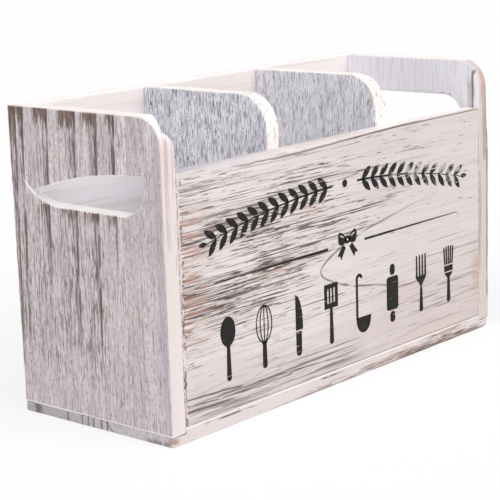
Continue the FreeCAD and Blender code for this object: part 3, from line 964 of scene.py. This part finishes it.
# %% Dividers
DIVIDER_WHITE = (250, 250, 255)
DIVIDER_COATS = (
    Coat((168, 168, 181), 5, 0.85, 0.51, 0.06, 0.65, 0.04),
    Coat((116, 116, 127), 11, 0.9, 0.57, 0.05, 0.80, 0.05),
    Coat((74, 74, 83), 5, 0.85, 0.60, 0.05, 0.90, 0.06),
    Coat((120, 120, 131), 2.6, 0.75, 0.56, 0.05, 0.50, 0.02))
DIVIDER_GLINT = Coat(DIVIDER_WHITE, 3.2, 0.8, 0.58, 0.05, 0.45)


def divider_finish(name, seed, strength, drift):
    """Dense upright strokes in blue grey under pale, flecked edges."""
    wood = Wood(name, Z_AXIS, seed, DIVIDER_WHITE)
    wood.layer((226, 226, 237), wood.grained(40, 6).rise(0.42, 0.62) * drift)
    wood.brush(DIVIDER_COATS, strength)
    wood.brush([DIVIDER_GLINT])
    wood.layer(WHITE_EDGE, wood.edge * 0.95)
    fleck = wood.strokes(4, 1.6, 0.57) * wood.axes[Y_AXIS].rise(-16, -28)
    wood.layer((190, 158, 132), fleck * wood.edge * 0.75, 0.06)
    wood.rub_arrises((178, 142, 114), 0.03)
    return wood


left_divider.data.materials.append(divider_finish("left_divider_wash", 300, 1.0, 0.8).close())
# The right divider is washed paler than the left, with fewer grey strokes and less drift: painted light for
# the shade it stands in.
spotted = divider_finish("right_divider_wash", 400, 0.64, 0.2)
bare_spot = spotted.spot((42, -36.5, 137), (9, 5, 8)) * spotted.strokes(4, 1.5, 0.44, soft=0.1)
spotted.layer((172, 138, 112), bare_spot * 0.9, 0.08)
right_divider.data.materials.append(spotted.close())
print("dividers finished")

# %% [markdown]
# The front panel is a flat-sawn board: thin dark dashes where the saw cut the pores at a slant, and a
# flame, where the cut runs along a ring. The flame's outline is a parabola that opens to the right.
# Inside it the wood is smooth and the wash holds; outside, and most of all to the left, it is worn.

# %% Flame and wear of the front panel
FLAME_TIP = (-20.4, 60.3)
FLAME_WIDTH = 5.5
PANEL_LEFT, PANEL_RIGHT = (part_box("front_panel")[side][X_AXIS] / MM for side in range(2))
PANEL_FOOT, PANEL_TOP = (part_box("front_panel")[side][Z_AXIS] / MM for side in range(2))
FRONT_GRAIN = Coat((194, 184, 182), 80, 0.9, 0.54, 0.14, 0.6, 0.03)
FRONT_WEAR = (
    Coat((176, 146, 130), 32, 1.6, 0.66, 0.10, 0.65, 0.04, 0.14),
    Coat((96, 85, 82), 34, 0.8, 0.68, 0.04, 0.85, 0.06, 0.135),
    Coat(PORE, 13, 0.75, 0.69, 0.04, 0.90, 0.08, 0.14),
    Coat((84, 72, 69), 130, 0.75, 0.71, 0.03, 0.90, 0.06, 0.15))


def flame_depth(wood):
    """How far inside the flame a place is, in millimetres along the grain: x - x0 - (z - z0)^2 / p."""
    x, _, z = wood.axes
    rise_from_tip = z - FLAME_TIP[1] + wood.sway(60, 25, 5)
    return x - FLAME_TIP[0] - rise_from_tip * rise_from_tip / FLAME_WIDTH, rise_from_tip


def flame_line(depth, rise_from_tip, half_width):
    """A thin line where the depth is 0: its distance is the depth over its own slope."""
    slope = (rise_from_tip * rise_from_tip * (4 / FLAME_WIDTH ** 2) + 1).math("SQRT")
    return (abs(depth) / slope).rise(half_width, half_width * 0.4)


def wear_front(wood, outside, depth):
    """Dashes of bare wood outside the flame, most at the left and halfway up, over a duller foot."""
    x, _, z = wood.axes
    worn = depth.rise(14, -20) * (z.within(58, 104, 16) * 0.35 + 0.65) * (z.rise(30, 56) * 0.45 + 0.55)
    left = x.rise(95, -70) * 0.8 + 0.2
    bare = worn * left * (wood.grained(60, 12).rise(0.30, 0.60) * 0.5 + 0.5) * outside
    wood.brush(FRONT_WEAR, bared=bare)
    wood.layer((200, 188, 185), z.rise(44, 18) * wood.grained(60, 8).rise(0.30, 0.55) * outside * 0.6)


print("front panel in mm:", PANEL_LEFT, "to", PANEL_RIGHT, "and", PANEL_FOOT, "to", PANEL_TOP)

# %% Foot, top and joints of the front panel
FootLine = namedtuple("FootLine", "level fall reach half")
FOOT_LINES = (
    FootLine(19.8, 0.055, 150, 0.5), FootLine(17.0, 0.05, 70, 0.45), FootLine(13.8, 0.035, 44, 0.8))
LOW_LEFT = Coat((100, 84, 78), 60, 0.9, 0.74, 0.04, 0.85, 0.06, 0.15)
LOW_RIGHT = Coat((152, 140, 136), 50, 0.8, 0.73, 0.05, 0.85, 0.05, 0.15)
SMUDGE = Coat((108, 91, 85), 34, 0.85, 0.51, 0.05, 0.80, 0.04)
LEFT_STAIN = Coat((166, 120, 96), 26, 1.8, 0.46, 0.12, 0.80, 0.05)
BELOW_TOP = Coat((174, 160, 154), 20, 1.0, 0.50, 0.16, 0.55)


def wear_foot(wood, outside, broken):
    """Stains and dashes low on the panel, and brown at the right end."""
    x, _, z = wood.axes
    wood.brush([LOW_LEFT], bared=z.rise(26, 16) * x.rise(40, -60) * outside)
    low_right = z.rise(70, 50) * x.rise(10, 50) * outside
    wood.layer((204, 190, 187), low_right * wood.grained(70, 9).rise(0.34, 0.60) * z.rise(52, 34) * 0.6)
    wood.brush([LOW_RIGHT], bared=low_right)
    wood.layer((192, 168, 148), wood.spot((117, -49.5, 33), (7, 4, 24)) * broken.rise(0.3, 0.6) * 0.75)


def line_foot(wood, outside, broken):
    """Long dark lines that fall from the left end and fade out, with a smudge among them."""
    x, _, z = wood.axes
    along = x - PANEL_LEFT
    for line in FOOT_LINES:
        away = abs(z - line.level + along * line.fall + wood.sway(40, 30, 2))
        drawn = away.rise(line.half, line.half * 0.4) * along.rise(line.reach, line.reach * 0.6)
        wood.layer(PORE, drawn * broken.rise(0.34, 0.46) * outside * 0.85, 0.08)
    wood.brush([SMUDGE], z.within(12, 19, 4) * x.within(-105, -5, 25) * outside)


def wash_top(wood, outside, broken):
    """The narrow edges, greyer at the left and white at the right, and a broken line below the top one."""
    x, y, z = wood.axes
    greyer_left = wood.mix((206, 200, 207), (222, 213, 213), x.rise(-100, -40))
    wood.layer(wood.mix(greyer_left, WHITE_EDGE, x.rise(0, 48)), wood.edge * 0.9)
    drop = x.rise(TOP_RUB_FROM, TOP_RUB_FULL) * TOP_RUB + 0.4
    under_top = abs(z - PANEL_TOP + drop).rise(0.55, 0.2) * y.rise(-46, -48) * x.rise(-100, -60)
    wood.layer((124, 100, 90), under_top * broken.rise(0.32, 0.44) * 0.8)
    wood.layer((92, 72, 64), under_top * x.within(12, 58, 14) * 0.7)
    below_top = z.within(PANEL_TOP - 6, PANEL_TOP - 1.5, 1.5) * x.within(24, 56, 14)
    wood.brush([BELOW_TOP], below_top * outside)


def wear_joints(wood, outside):
    """Crumbs of wash, specks and dark ticks where the panel meets the end boards and the base."""
    x, _, z = wood.axes
    crumbs = wood.crumbs((0.5, 0.5, 0.4), 4, 0.7)
    from_left = x - PANEL_LEFT
    from_joint = from_left - (crumbs - 0.5) * 5
    wood.layer(STILE, from_joint.rise(1.9, 1.2) * outside * 0.85)
    specks = wood.crumbs((0.4, 0.4, 0.5), 3, 0.65, (9, 4, 2)).rise(0.54, 0.60) * z.rise(54, 66)
    wood.layer((112, 84, 72), from_joint.within(1.4, 3.0, 0.5) * specks * outside * 0.85, 0.08)
    ticks = wood.crumbs((0.7, 0.7, 0.22), 3, 0.65).rise(0.50, 0.56) * z.rise(76, 60)
    wood.layer(PORE, from_joint.within(0.5, 1.5, 0.3) * ticks * outside * 0.85, 0.1)
    wood.layer((146, 126, 119), from_left.rise(0.9, 0.4) * crumbs.rise(0.46, 0.58) * outside * 0.65, 0.1)
    foot_line = (z - PANEL_FOOT).rise(1.1, 0.5) * (x.rise(-70, 10) * 0.6 + 0.4)
    end_line = (PANEL_RIGHT - x).rise(1.2, 0.5) * z.rise(118, 108)
    lines = foot_line.most(end_line) * crumbs.rise(0.34, 0.50)
    wood.layer((150, 135, 130), lines * outside * 0.8, 0.06)


def front_finish():
    """Lying grain with worn dashes, a smooth flame and a few long dark lines near the foot."""
    wood = Wood("front_panel_wash", X_AXIS, 500, (224, 217, 216))
    x, y, z = wood.axes
    outside = y.rise(-44, -48)
    wood.layer((211, 203, 202), wood.grained(90, 3).rise(0.42, 0.62) * 0.7)
    wood.layer((206, 198, 198), x.rise(-60, 60) * 0.6)
    wood.brush([FRONT_GRAIN])
    wood.layer((255, 250, 249), 1 - y.rise(-42, -44).most(wood.edge))
    depth, from_tip = flame_depth(wood)
    wear_front(wood, outside, depth)
    broken = wood.grained(14, 2, 3)
    wear_foot(wood, outside, broken)
    rim = flame_line(depth, from_tip, 0.75) * x.rise(90, 0)
    unbroken = broken.rise(0.38, 0.56).most(abs(from_tip).rise(14, 7) * 0.8)
    wood.layer((100, 82, 76), rim * outside * unbroken * 0.85, 0.05)
    wood.brush([LEFT_STAIN], x.rise(-88, PANEL_LEFT) * z.within(50, 100, 14) * outside)
    line_foot(wood, outside, broken)
    wash_top(wood, outside, broken)
    wear_joints(wood, outside)
    wood.rub_arrises((120, 96, 86), -0.02)
    return wood


front_panel.data.materials.append(front_finish().close(PANEL_MATT))
print("front panel finished")

# %% [markdown]
# The back panel and the base are plainer. Inside, the back panel is almost smooth, with faint lines;
# its outer face is worn like the front, but less. The base has a grey end grain, and its front edge
# is worn in the middle and to the right, where the caddy is pushed across a shelf. A painted highlight runs
# along its top front arris, and a painted contact shadow along its foot.

# %% Back panel and base
BACK_LINES = Coat((243, 231, 227), 110, 2.4, 0.48, 0.18, 0.7, 0.02)
BACK_SHADE = Coat((226, 222, 226), 60, 0.9, 0.56, 0.10, 0.6, 0.02)
BACK_WEAR = (
    Coat((160, 126, 110), 34, 1.2, 0.76, 0.06, 0.75, 0.05, 0.16),
    Coat(PORE, 20, 0.8, 0.78, 0.04, 0.90, 0.08, 0.17))
BASE_WEAR = (
    Coat((166, 148, 141), 22, 1.6, 0.62, 0.14, 0.80, 0.05, 0.35),
    Coat((108, 88, 81), 14, 0.8, 0.70, 0.06, 0.85, 0.06, 0.27))
BASE_TICKS = (41.5, 40.0, 19.5, 9.6, 5.4, 1.8, -3.4, -7.2)


def back_finish():
    """Faint lying lines inside, light wear outside."""
    wood = Wood("back_panel_wash", X_AXIS, 600, (255, 248, 247))
    _, y, z = wood.axes
    outside = y.rise(44, 48)
    wood.layer((253, 252, 255), z.rise(138, 122))
    wood.brush([BACK_LINES])
    wood.brush([BACK_SHADE], z.rise(136, 126))
    wood.layer((222, 212, 211), wood.grained(90, 3).rise(0.42, 0.62) * outside * 0.7)
    wood.brush(BACK_WEAR, bared=wood.grained(60, 14).rise(0.40, 0.60) * outside)
    wood.layer(WHITE_EDGE, wood.edge * 0.9)
    wood.rub_arrises(UMBER, -0.03)
    return wood


def base_ends(wood):
    """Grey end grain with dark ticks across it, a slanting one among them, and a darker front foot."""
    x, y, z = wood.axes
    ends = abs(x).rise(127.5, 129)
    wood.layer(wood.mix((202, 196, 200), (180, 175, 179), y.rise(-10, 28)), ends)
    ticks = wood.crumbs((0.05, 0.7, 0.45), *CRISP)
    wood.layer((168, 160, 162), ticks.rise(0.46, 0.62) * ends * 0.7, 0.03)
    lean = wood.sway(40, 5, 2)
    for middle in BASE_TICKS:
        wood.layer((98, 91, 93), abs(y - middle + lean).rise(0.7, 0.3) * ends * 0.8, 0.05)
    slant = abs(y + 6.4 - (z - 4.6) * 1.1).rise(0.8, 0.3)
    back_patch = y.within(38, 42.5, 1) * ticks.rise(0.3, 0.5)
    wood.layer((112, 105, 107), slant.most(back_patch) * ends * 0.75, 0.05)
    low_front = y.within(-46, -35, 3) * z.rise(2.8, 1.4) * ends
    wood.layer((124, 114, 114), low_front * ticks.rise(0.34, 0.5) * 0.75, 0.04)


def base_finish():
    """Pale edges with a painted highlight on the top front arris, worn brown along the front foot with a
    painted contact shadow at its sole, and grey end grain.
    """
    wood = Wood("base_board_wash", X_AXIS, 700, (218, 209, 208))
    x, y, z = wood.axes
    wood.layer((210, 200, 199), wood.grained(70, 2).rise(0.44, 0.62) * 0.6)
    # Whiter over the top face and its arris: along the front this is a painted highlight.
    wood.layer((248, 243, 242), z.rise(7.0, 7.4) * wood.grained(90, 5).rise(0.60, 0.44))
    base_ends(wood)
    front = y.rise(-48.4, -49.3)
    to_right = x.rise(-78, -14)
    pushed = front * to_right * (z.rise(7.5, 0) * 0.6 + x.within(55, 100, 25) * 0.4)
    wood.brush(BASE_WEAR, bared=pushed)
    broken = wood.grained(16, 3, 3)
    shoulder = z.within(5.4, 6.1, 0.3) * x.within(-108, -10, 12) * front
    wood.layer((104, 88, 82), shoulder * broken.rise(0.48, 0.60) * 0.85, 0.05)
    # Along the foot of the front edge: brown wear, and with it a painted contact shadow where the base meets
    # the floor.
    sole_wear_and_shadow = z.rise(1.5, 0.6) * front * to_right * broken.rise(0.30, 0.5)
    wood.layer((116, 96, 88), sole_wear_and_shadow * 0.7, 0.04)
    # A painted highlight along the front's top arris, just under the joint with the front panel.
    wood.layer(WHITE_EDGE, z.rise(6.7, 7.1) * front * x.rise(121, 116) * 0.8)
    wood.layer((150, 112, 90), wood.spot((-127.5, -48, 2.5), (4, 4, 4)) * broken.rise(0.36, 0.5) * 0.8)
    wood.rub_arrises(UMBER, -0.03)
    return wood


back_panel.data.materials.append(back_finish().close(PANEL_MATT))
base_board.data.materials.append(base_finish().close())
print("back panel and base finished")

# %% [markdown]
# The front carries a black stencilled ornament: a row of kitchen tools, a bow between two tapering
# rules, and two leafy sprigs above. Each stroke is a very thin slab on the panel, like a film of paint.
# A picture on the panel would need an image; slabs keep a sharp outline from any distance. A stroke is
# a plate between two edges, and most strokes are a centre line with a half width on either side.

# %% Stencilled strokes
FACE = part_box("front_panel")[0][Y_AXIS] / MM
FILM_FRONT, FILM_BACK = FACE - 0.12, FACE + 0.05
UPRIGHT_ROWS = 56
LEAF_ROWS = 15


def plate(first, second):
    """A thin slab between two edges, rows of (x, z) in millimetres, over the panel's front face."""
    corners = [(first, FILM_FRONT), (second, FILM_FRONT), (second, FILM_BACK), (first, FILM_BACK)]
    columns = [np.column_stack([edge[:, 0], np.full(len(edge), y), edge[:, 1]]) for edge, y in corners]
    return np.stack(columns, axis=1) * MM


def ribbon(line, half):
    """A plate along a line: the edges are line +- half times the line's normal."""
    along = np.gradient(line, axis=0)
    normal = np.column_stack([-along[:, 1], along[:, 0]]) / np.linalg.norm(along, axis=1)[:, None]
    reach = normal * np.broadcast_to(half, len(line))[:, None]
    return plate(line + reach, line - reach)


def straight(start, end, count=24):
    """Points evenly along a straight way."""
    share = np.linspace(0, 1, count)[:, None]
    return np.array(start) * (1 - share) + np.array(end) * share


def round_end(along, half):
    """The half width of a round end: sqrt(h^2 - (h - s)^2) for a distance s from the end under h."""
    return np.sqrt(np.maximum(half ** 2 - np.maximum(half - along, 0) ** 2, 0))


def upright(height, profile, x=0.0, foot=0.0):
    """A figure that is alike on both sides of an upright line: half width = profile(height above foot)."""
    up = height * (1 - np.cos(np.linspace(0, np.pi, UPRIGHT_ROWS))) / 2
    half = profile(up)
    return plate(np.column_stack([x - half, foot + up]), np.column_stack([x + half, foot + up]))


def ring(centre, radii, half, count=40):
    """A closed ribbon along an ellipse: centre + (a cos t, b sin t), with half to either side."""
    turn = np.linspace(0, 2 * np.pi, count, endpoint=False)
    flat = np.column_stack([radii[0] * np.cos(turn), radii[1] * np.sin(turn)])
    normal = np.column_stack([radii[1] * np.cos(turn), radii[0] * np.sin(turn)])
    normal *= half / np.linalg.norm(normal, axis=1)[:, None]
    return plate(flat + normal + centre, flat - normal + centre)


def leaf(base, angle, length, half):
    """A pointed leaf: a straight midrib with the half width h sin(pi s)^0.8 at a share s of its length."""
    tip = (base[0] + length * math.cos(angle), base[1] + length * math.sin(angle))
    swell = np.sin(np.pi * np.linspace(0, 1, LEAF_ROWS)) ** 0.8
    return ribbon(straight(base, tip, LEAF_ROWS), half * swell)


def inked(name, grids, closed_rows=False):
    """Ink strokes as one piece on the caddy."""
    piece = new_piece(name, grids, closed_rows, capped=not closed_rows, smooth=False)
    piece.data.materials.append(ink.owner)
    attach(piece, BODY)
    print(piece.name, len(grids), "strokes")


print("film of ink in mm:", round(FILM_BACK - FILM_FRONT, 2))

# %% [markdown]
# The ink is a worn black. A flat black would look printed yesterday, so it is scratched along the grain
# of the panel, patchy all over and thinner towards the upper right. The scratches spare the bow.

# %% Ink
BLACK, DARK_GREY = (20, 18, 18), (40, 36, 36)
THIN_INK, BARE_PANEL = (196, 190, 188), (226, 217, 215)

ink = new_finish("worn_black_ink")
ink_place, ink_x, _, ink_z = ink.millimetres()
scratch = ink.noise(ink.scaled(ink_place, (1 / 16, 1.0, 1 / 0.6)), 3, 0.6)
fading = ink_x.rise(-10, 95) * ink_z.rise(72, 112)
patchy = ink.noise(ink.scaled(ink_place, (1 / 5, 1.0, 1 / 5), (3.1, 0, 7.7)), 2)
lost = (scratch - 0.66 + fading * 0.08).rise(0.0, 0.05) * abs(ink_x).rise(9, 14) * 0.85
thin = (fading * 0.6 + patchy - 0.75).rise(0.0, 0.25) * 0.8
thinned = ink.mix(ink.mix(BLACK, DARK_GREY, patchy), THIN_INK, thin)
ink.principled({
    "Base Color": ink.mix(thinned, BARE_PANEL, lost), "Roughness": 0.6 + patchy * 0.2,
    "Specular IOR Level": 0.2})
print("ink mixed")

# %% [markdown]
# The tools are as tall as the whole lower row and stand at even steps. Each is built from the strokes
# above, on its own foot, and then moved to its station: the spoon is a bowl on a tapering handle, the
# fork has four tines, and the whisk is two wire loops about a middle wire.

# %% Profiles of the tools
ROW_FOOT = 22.0
ROW_HEIGHT = 31.0
ROW_HALF_LENGTH = 90.0
HANDLE = 1.7


def handle(up, length, neck=0.9):
    """The half width of a handle: round at its end and narrowing to the neck, then nothing."""
    narrowing = HANDLE + (neck - HANDLE) * np.clip(up / length, 0, 1)
    return np.where(up <= length, np.minimum(round_end(up, HANDLE), narrowing), 0.0)


def eased(up, low, high, start, end):
    """A half width that goes from start to end over a stretch with a smooth step, and is 0 outside it."""
    share = smooth_step((up - low) / (high - low))
    return np.where((up >= low) & (up <= high), start + (end - start) * share, 0.0)


def bowl(up, middle, long_half, wide_half):
    """The half width of an ellipse: b sqrt(1 - (v / a)^2)."""
    return wide_half * np.sqrt(np.maximum(1 - ((up - middle) / long_half) ** 2, 0))


def barrel(height, waist, corner, foot):
    """A bar with rounded corners at both ends: half width = waist + the round end's."""
    return upright(height, lambda up: waist + round_end(np.minimum(up, height - up), corner), foot=foot)


print("tool row in mm:", ROW_FOOT, "to", ROW_FOOT + ROW_HEIGHT)

# %% Row of tools
def spoon():
    """A handle below an ellipse: at each height the wider of the two half widths."""
    return [upright(ROW_HEIGHT, lambda up: np.maximum(handle(up, 21), bowl(up, 23.8, 7.2, 5.2)))]


def fork():
    """A handle that widens into a root with a smooth step, and four tines that taper upwards."""
    root = upright(19.5, lambda up: np.maximum(handle(up, 14), eased(up, 14, 19.5, 0.9, 4.7)))
    taper = np.linspace(0.8, 0.55, 24)
    return [root] + [ribbon(straight((u, 19.5), (u, ROW_HEIGHT)), taper) for u in (-3.9, -1.3, 1.3, 3.9)]


def knife():
    """A round grip and a blade: a straight back, and a belly at 5.4 (1 - s^2.6)^0.6 from it."""
    share = np.linspace(0, 1, 40)
    level = 13 + 18 * share
    back = np.column_stack([np.full(40, -2.2), level])
    belly = np.column_stack([-2.2 + 5.4 * (1 - share ** 2.6) ** 0.6, level])
    return [upright(12.2, lambda up: np.minimum(round_end(up, 2.1), 2.1)), plate(back, belly)]


def whisk_wires():
    """Wire loops as closed rings: two nested ellipses that meet at the collar."""
    return [ring((0.0, 21.8), (wide, 9.0), 0.34, count=56) for wide in (5.6, 2.9)]


def whisk():
    """A handle with a small elliptic collar, and the straight middle wire above it."""
    grip = upright(13.4, lambda up: np.maximum(handle(up, 13.4, 1.3), bowl(up, 13.0, 1.2, 1.9)))
    return [grip, ribbon(straight((0.0, 13.4), (0.0, 30.8)), 0.34)]


def ladle():
    """A cup of half width 6.1 sqrt(1 - s^2.2), s down from its brim, and a stem with a hook."""
    turn = np.linspace(np.pi, 0.15, 16)
    hook = np.column_stack([-2.6 + 2.0 * np.cos(turn), 28.6 + 2.0 * np.sin(turn)])
    stem = np.vstack([straight((-4.6, 7.5), (-4.6, 28.6))[:-1], hook])
    cup = upright(8.4, lambda up: 6.1 * np.sqrt(np.maximum(1 - ((8.4 - up) / 8.4) ** 2.2, 0)), x=0.8)
    return [cup, ribbon(stem, 0.85)]


def turner():
    """A handle and a slotted blade: four bars, joined below and above the three slots."""
    foot, top = 18.5, ROW_HEIGHT
    bars = [(-5.4, -3.1), (-1.9, -0.6), (0.6, 1.9), (3.1, 5.4)]
    slots = [(-3.1, -1.9), (-0.6, 0.6), (1.9, 3.1)]
    spans = [(bar, foot, top) for bar in bars]
    spans += [(slot, low, high) for slot in slots for low, high in ((foot, 21.2), (28.6, top))]
    blade = [plate(*(straight((u, low), (u, high), 4) for u in sides)) for sides, low, high in spans]
    return [upright(foot, lambda up: handle(up, foot, 1.0))] + blade


def pastry_brush():
    """A handle that widens with a smooth step, a collar, and five bristles that fan out to a low arch."""
    grip = upright(16.4, lambda up: np.maximum(handle(up, 13, 1.1), eased(up, 13, 16.4, 1.1, 3.6)))
    collar = upright(3.2, lambda up: np.full(len(up), 4.0), foot=17.1)
    bristles = [ribbon(straight((u, 21), (1.25 * u, ROW_HEIGHT - 0.05 * u * u)), 0.62)
                for u in np.linspace(-3.4, 3.4, 5)]
    return [grip, collar] + bristles


def rolling_pin():
    """A long barrel between two short narrow ones, all on one upright line."""
    return [barrel(17.8, 3.4, 1.6, 6.6)] + [barrel(5.8, 0.2, 1.9, foot) for foot in (0.0, 25.2)]


def standing(tool, x):
    """The strokes of a tool, moved to its station in the row."""
    return [stroke + np.array([x, 0.0, ROW_FOOT]) * MM for stroke in tool()]


TOOLS = (spoon, whisk, knife, turner, ladle, rolling_pin, fork, pastry_brush)
stations = np.linspace(-ROW_HALF_LENGTH, ROW_HALF_LENGTH, len(TOOLS))
inked("ink_tools", [stroke for tool, x in zip(TOOLS, stations) for stroke in standing(tool, x)])
inked("ink_whisk_wires", standing(whisk_wires, stations[TOOLS.index(whisk)]), closed_rows=True)

# %% [markdown]
# Above the tools a bow sits between two rules that taper to nothing at their outer ends, and at the top
# two sprigs curve down to either side of a dot. The bow's loops and knot are rings, so the panel shows
# through their slits.

# %% Rules and bow
BOW = (1.3, 72.8)
RULE_LEVEL = 70.5
RULE_SPANS = ((-14.5, -98.0), (15.5, 98.5))
TAIL_WAY = (0.605, 0.796)


def bow_loop(side):
    """One loop with a slit: the outline widens from the knot, the slit is a thin ellipse within it.

    The outline is x = 0.9 + 6.6 s, z = 1.6 s + (1.8 + 2.4 s) sin t, with s = (1 - cos t) / 2 and the sine
    raised to 0.7 so that the outer end is blunt.
    """
    turn = np.linspace(0, 2 * np.pi, 48, endpoint=False)
    wave, swing = np.cos(turn), np.sin(turn)
    share = (1 - wave) / 2
    blunt = np.sign(swing) * np.abs(swing) ** 0.7
    rim = np.column_stack([side * (0.9 + 6.6 * share), 1.6 * share + (1.8 + 2.4 * share) * blunt])
    slit = np.column_stack([side * (4.3 - 1.7 * wave), 2.1 - 0.7 * wave + 0.55 * swing])
    return plate(rim + BOW, slit + BOW)


def tail(side):
    """One end of the ribbon: two strips side by side whose ends are cut to a notch."""
    start = np.array(BOW) + (2.6 * side, -3.0)
    way = np.array([TAIL_WAY[0] * side, -TAIL_WAY[1]])
    aside = np.array([TAIL_WAY[1], TAIL_WAY[0] * side])
    middle = straight(start, start + way * 5.7, 6)
    return [plate(middle, straight(start + aside * sign * 1.4, start + way * 7.1 + aside * sign * 1.9, 6))
            for sign in (1, -1)]


inked("ink_rules", [
    ribbon(straight((near, RULE_LEVEL), (far, RULE_LEVEL), 12), np.linspace(0.65, 0.15, 12))
    for near, far in RULE_SPANS])
knot = ring(BOW, (1.5, 1.3), 0.72)
inked("ink_bow_loops", [knot] + [bow_loop(side) for side in (-1, 1)], closed_rows=True)
inked("ink_bow", tail(-1) + tail(1))

# %% Sprigs
SPRIG_TOP = 101.5
SPRIG_FALL = 12.0
SPRIG_START, SPRIG_REACH = 10.0, 102.0
LEAF_LENGTH = 9.5
LEAF_HALF = 1.75
LEAF_LEAN = 0.72
LEAF_STEP = 7.4
DOT = 1.9


def sprig(side):
    """A stem that falls as the square of the distance from the middle, with leaves in pairs."""
    def level(distance):
        return SPRIG_TOP - SPRIG_FALL * (distance / SPRIG_REACH) ** 2

    def outward(angle):
        return angle if side > 0 else math.pi - angle

    across = np.linspace(SPRIG_START, SPRIG_REACH, 60)
    strokes = [ribbon(np.column_stack([side * across, level(across)]), np.linspace(0.55, 0.2, 60))]
    for root in np.arange(SPRIG_START + 4, SPRIG_REACH - 4, LEAF_STEP):
        slope = math.atan(-2 * SPRIG_FALL * root / SPRIG_REACH ** 2)
        for lean in (LEAF_LEAN, -LEAF_LEAN):
            strokes.append(leaf((side * root, level(root)), outward(slope + lean), LEAF_LENGTH, LEAF_HALF))
    strokes.append(leaf((side * SPRIG_REACH, level(SPRIG_REACH)), outward(0.0), LEAF_LENGTH * 0.6, 1.2))
    return strokes


dot = upright(2 * DOT, lambda up: bowl(up, DOT, DOT, DOT), foot=SPRIG_TOP - DOT)
inked("ink_sprigs", [dot] + sprig(-1) + sprig(1))

# %% [markdown]
# The brads are plain drawn steel wire, set below the faces. They keep their own shape and get a finish
# with a fine, uneven polish.

# %% Brads
steel = new_finish("drawn_steel")
marks = steel.noise(steel.scaled(steel.millimetres()[0], (4, 4, 4)), 3)
steel.principled({
    "Base Color": steel.mix((150, 150, 154), (186, 186, 190), marks),
    "Metallic": 1.0, "Roughness": 0.28 + marks * 0.2})
brads = [node for name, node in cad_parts.items() if name.endswith("_brads")]
for node in brads:
    for slot in node.material_slots:
        slot.link = "OBJECT"
        slot.material = steel.owner
print("brad groups finished:", len(brads))
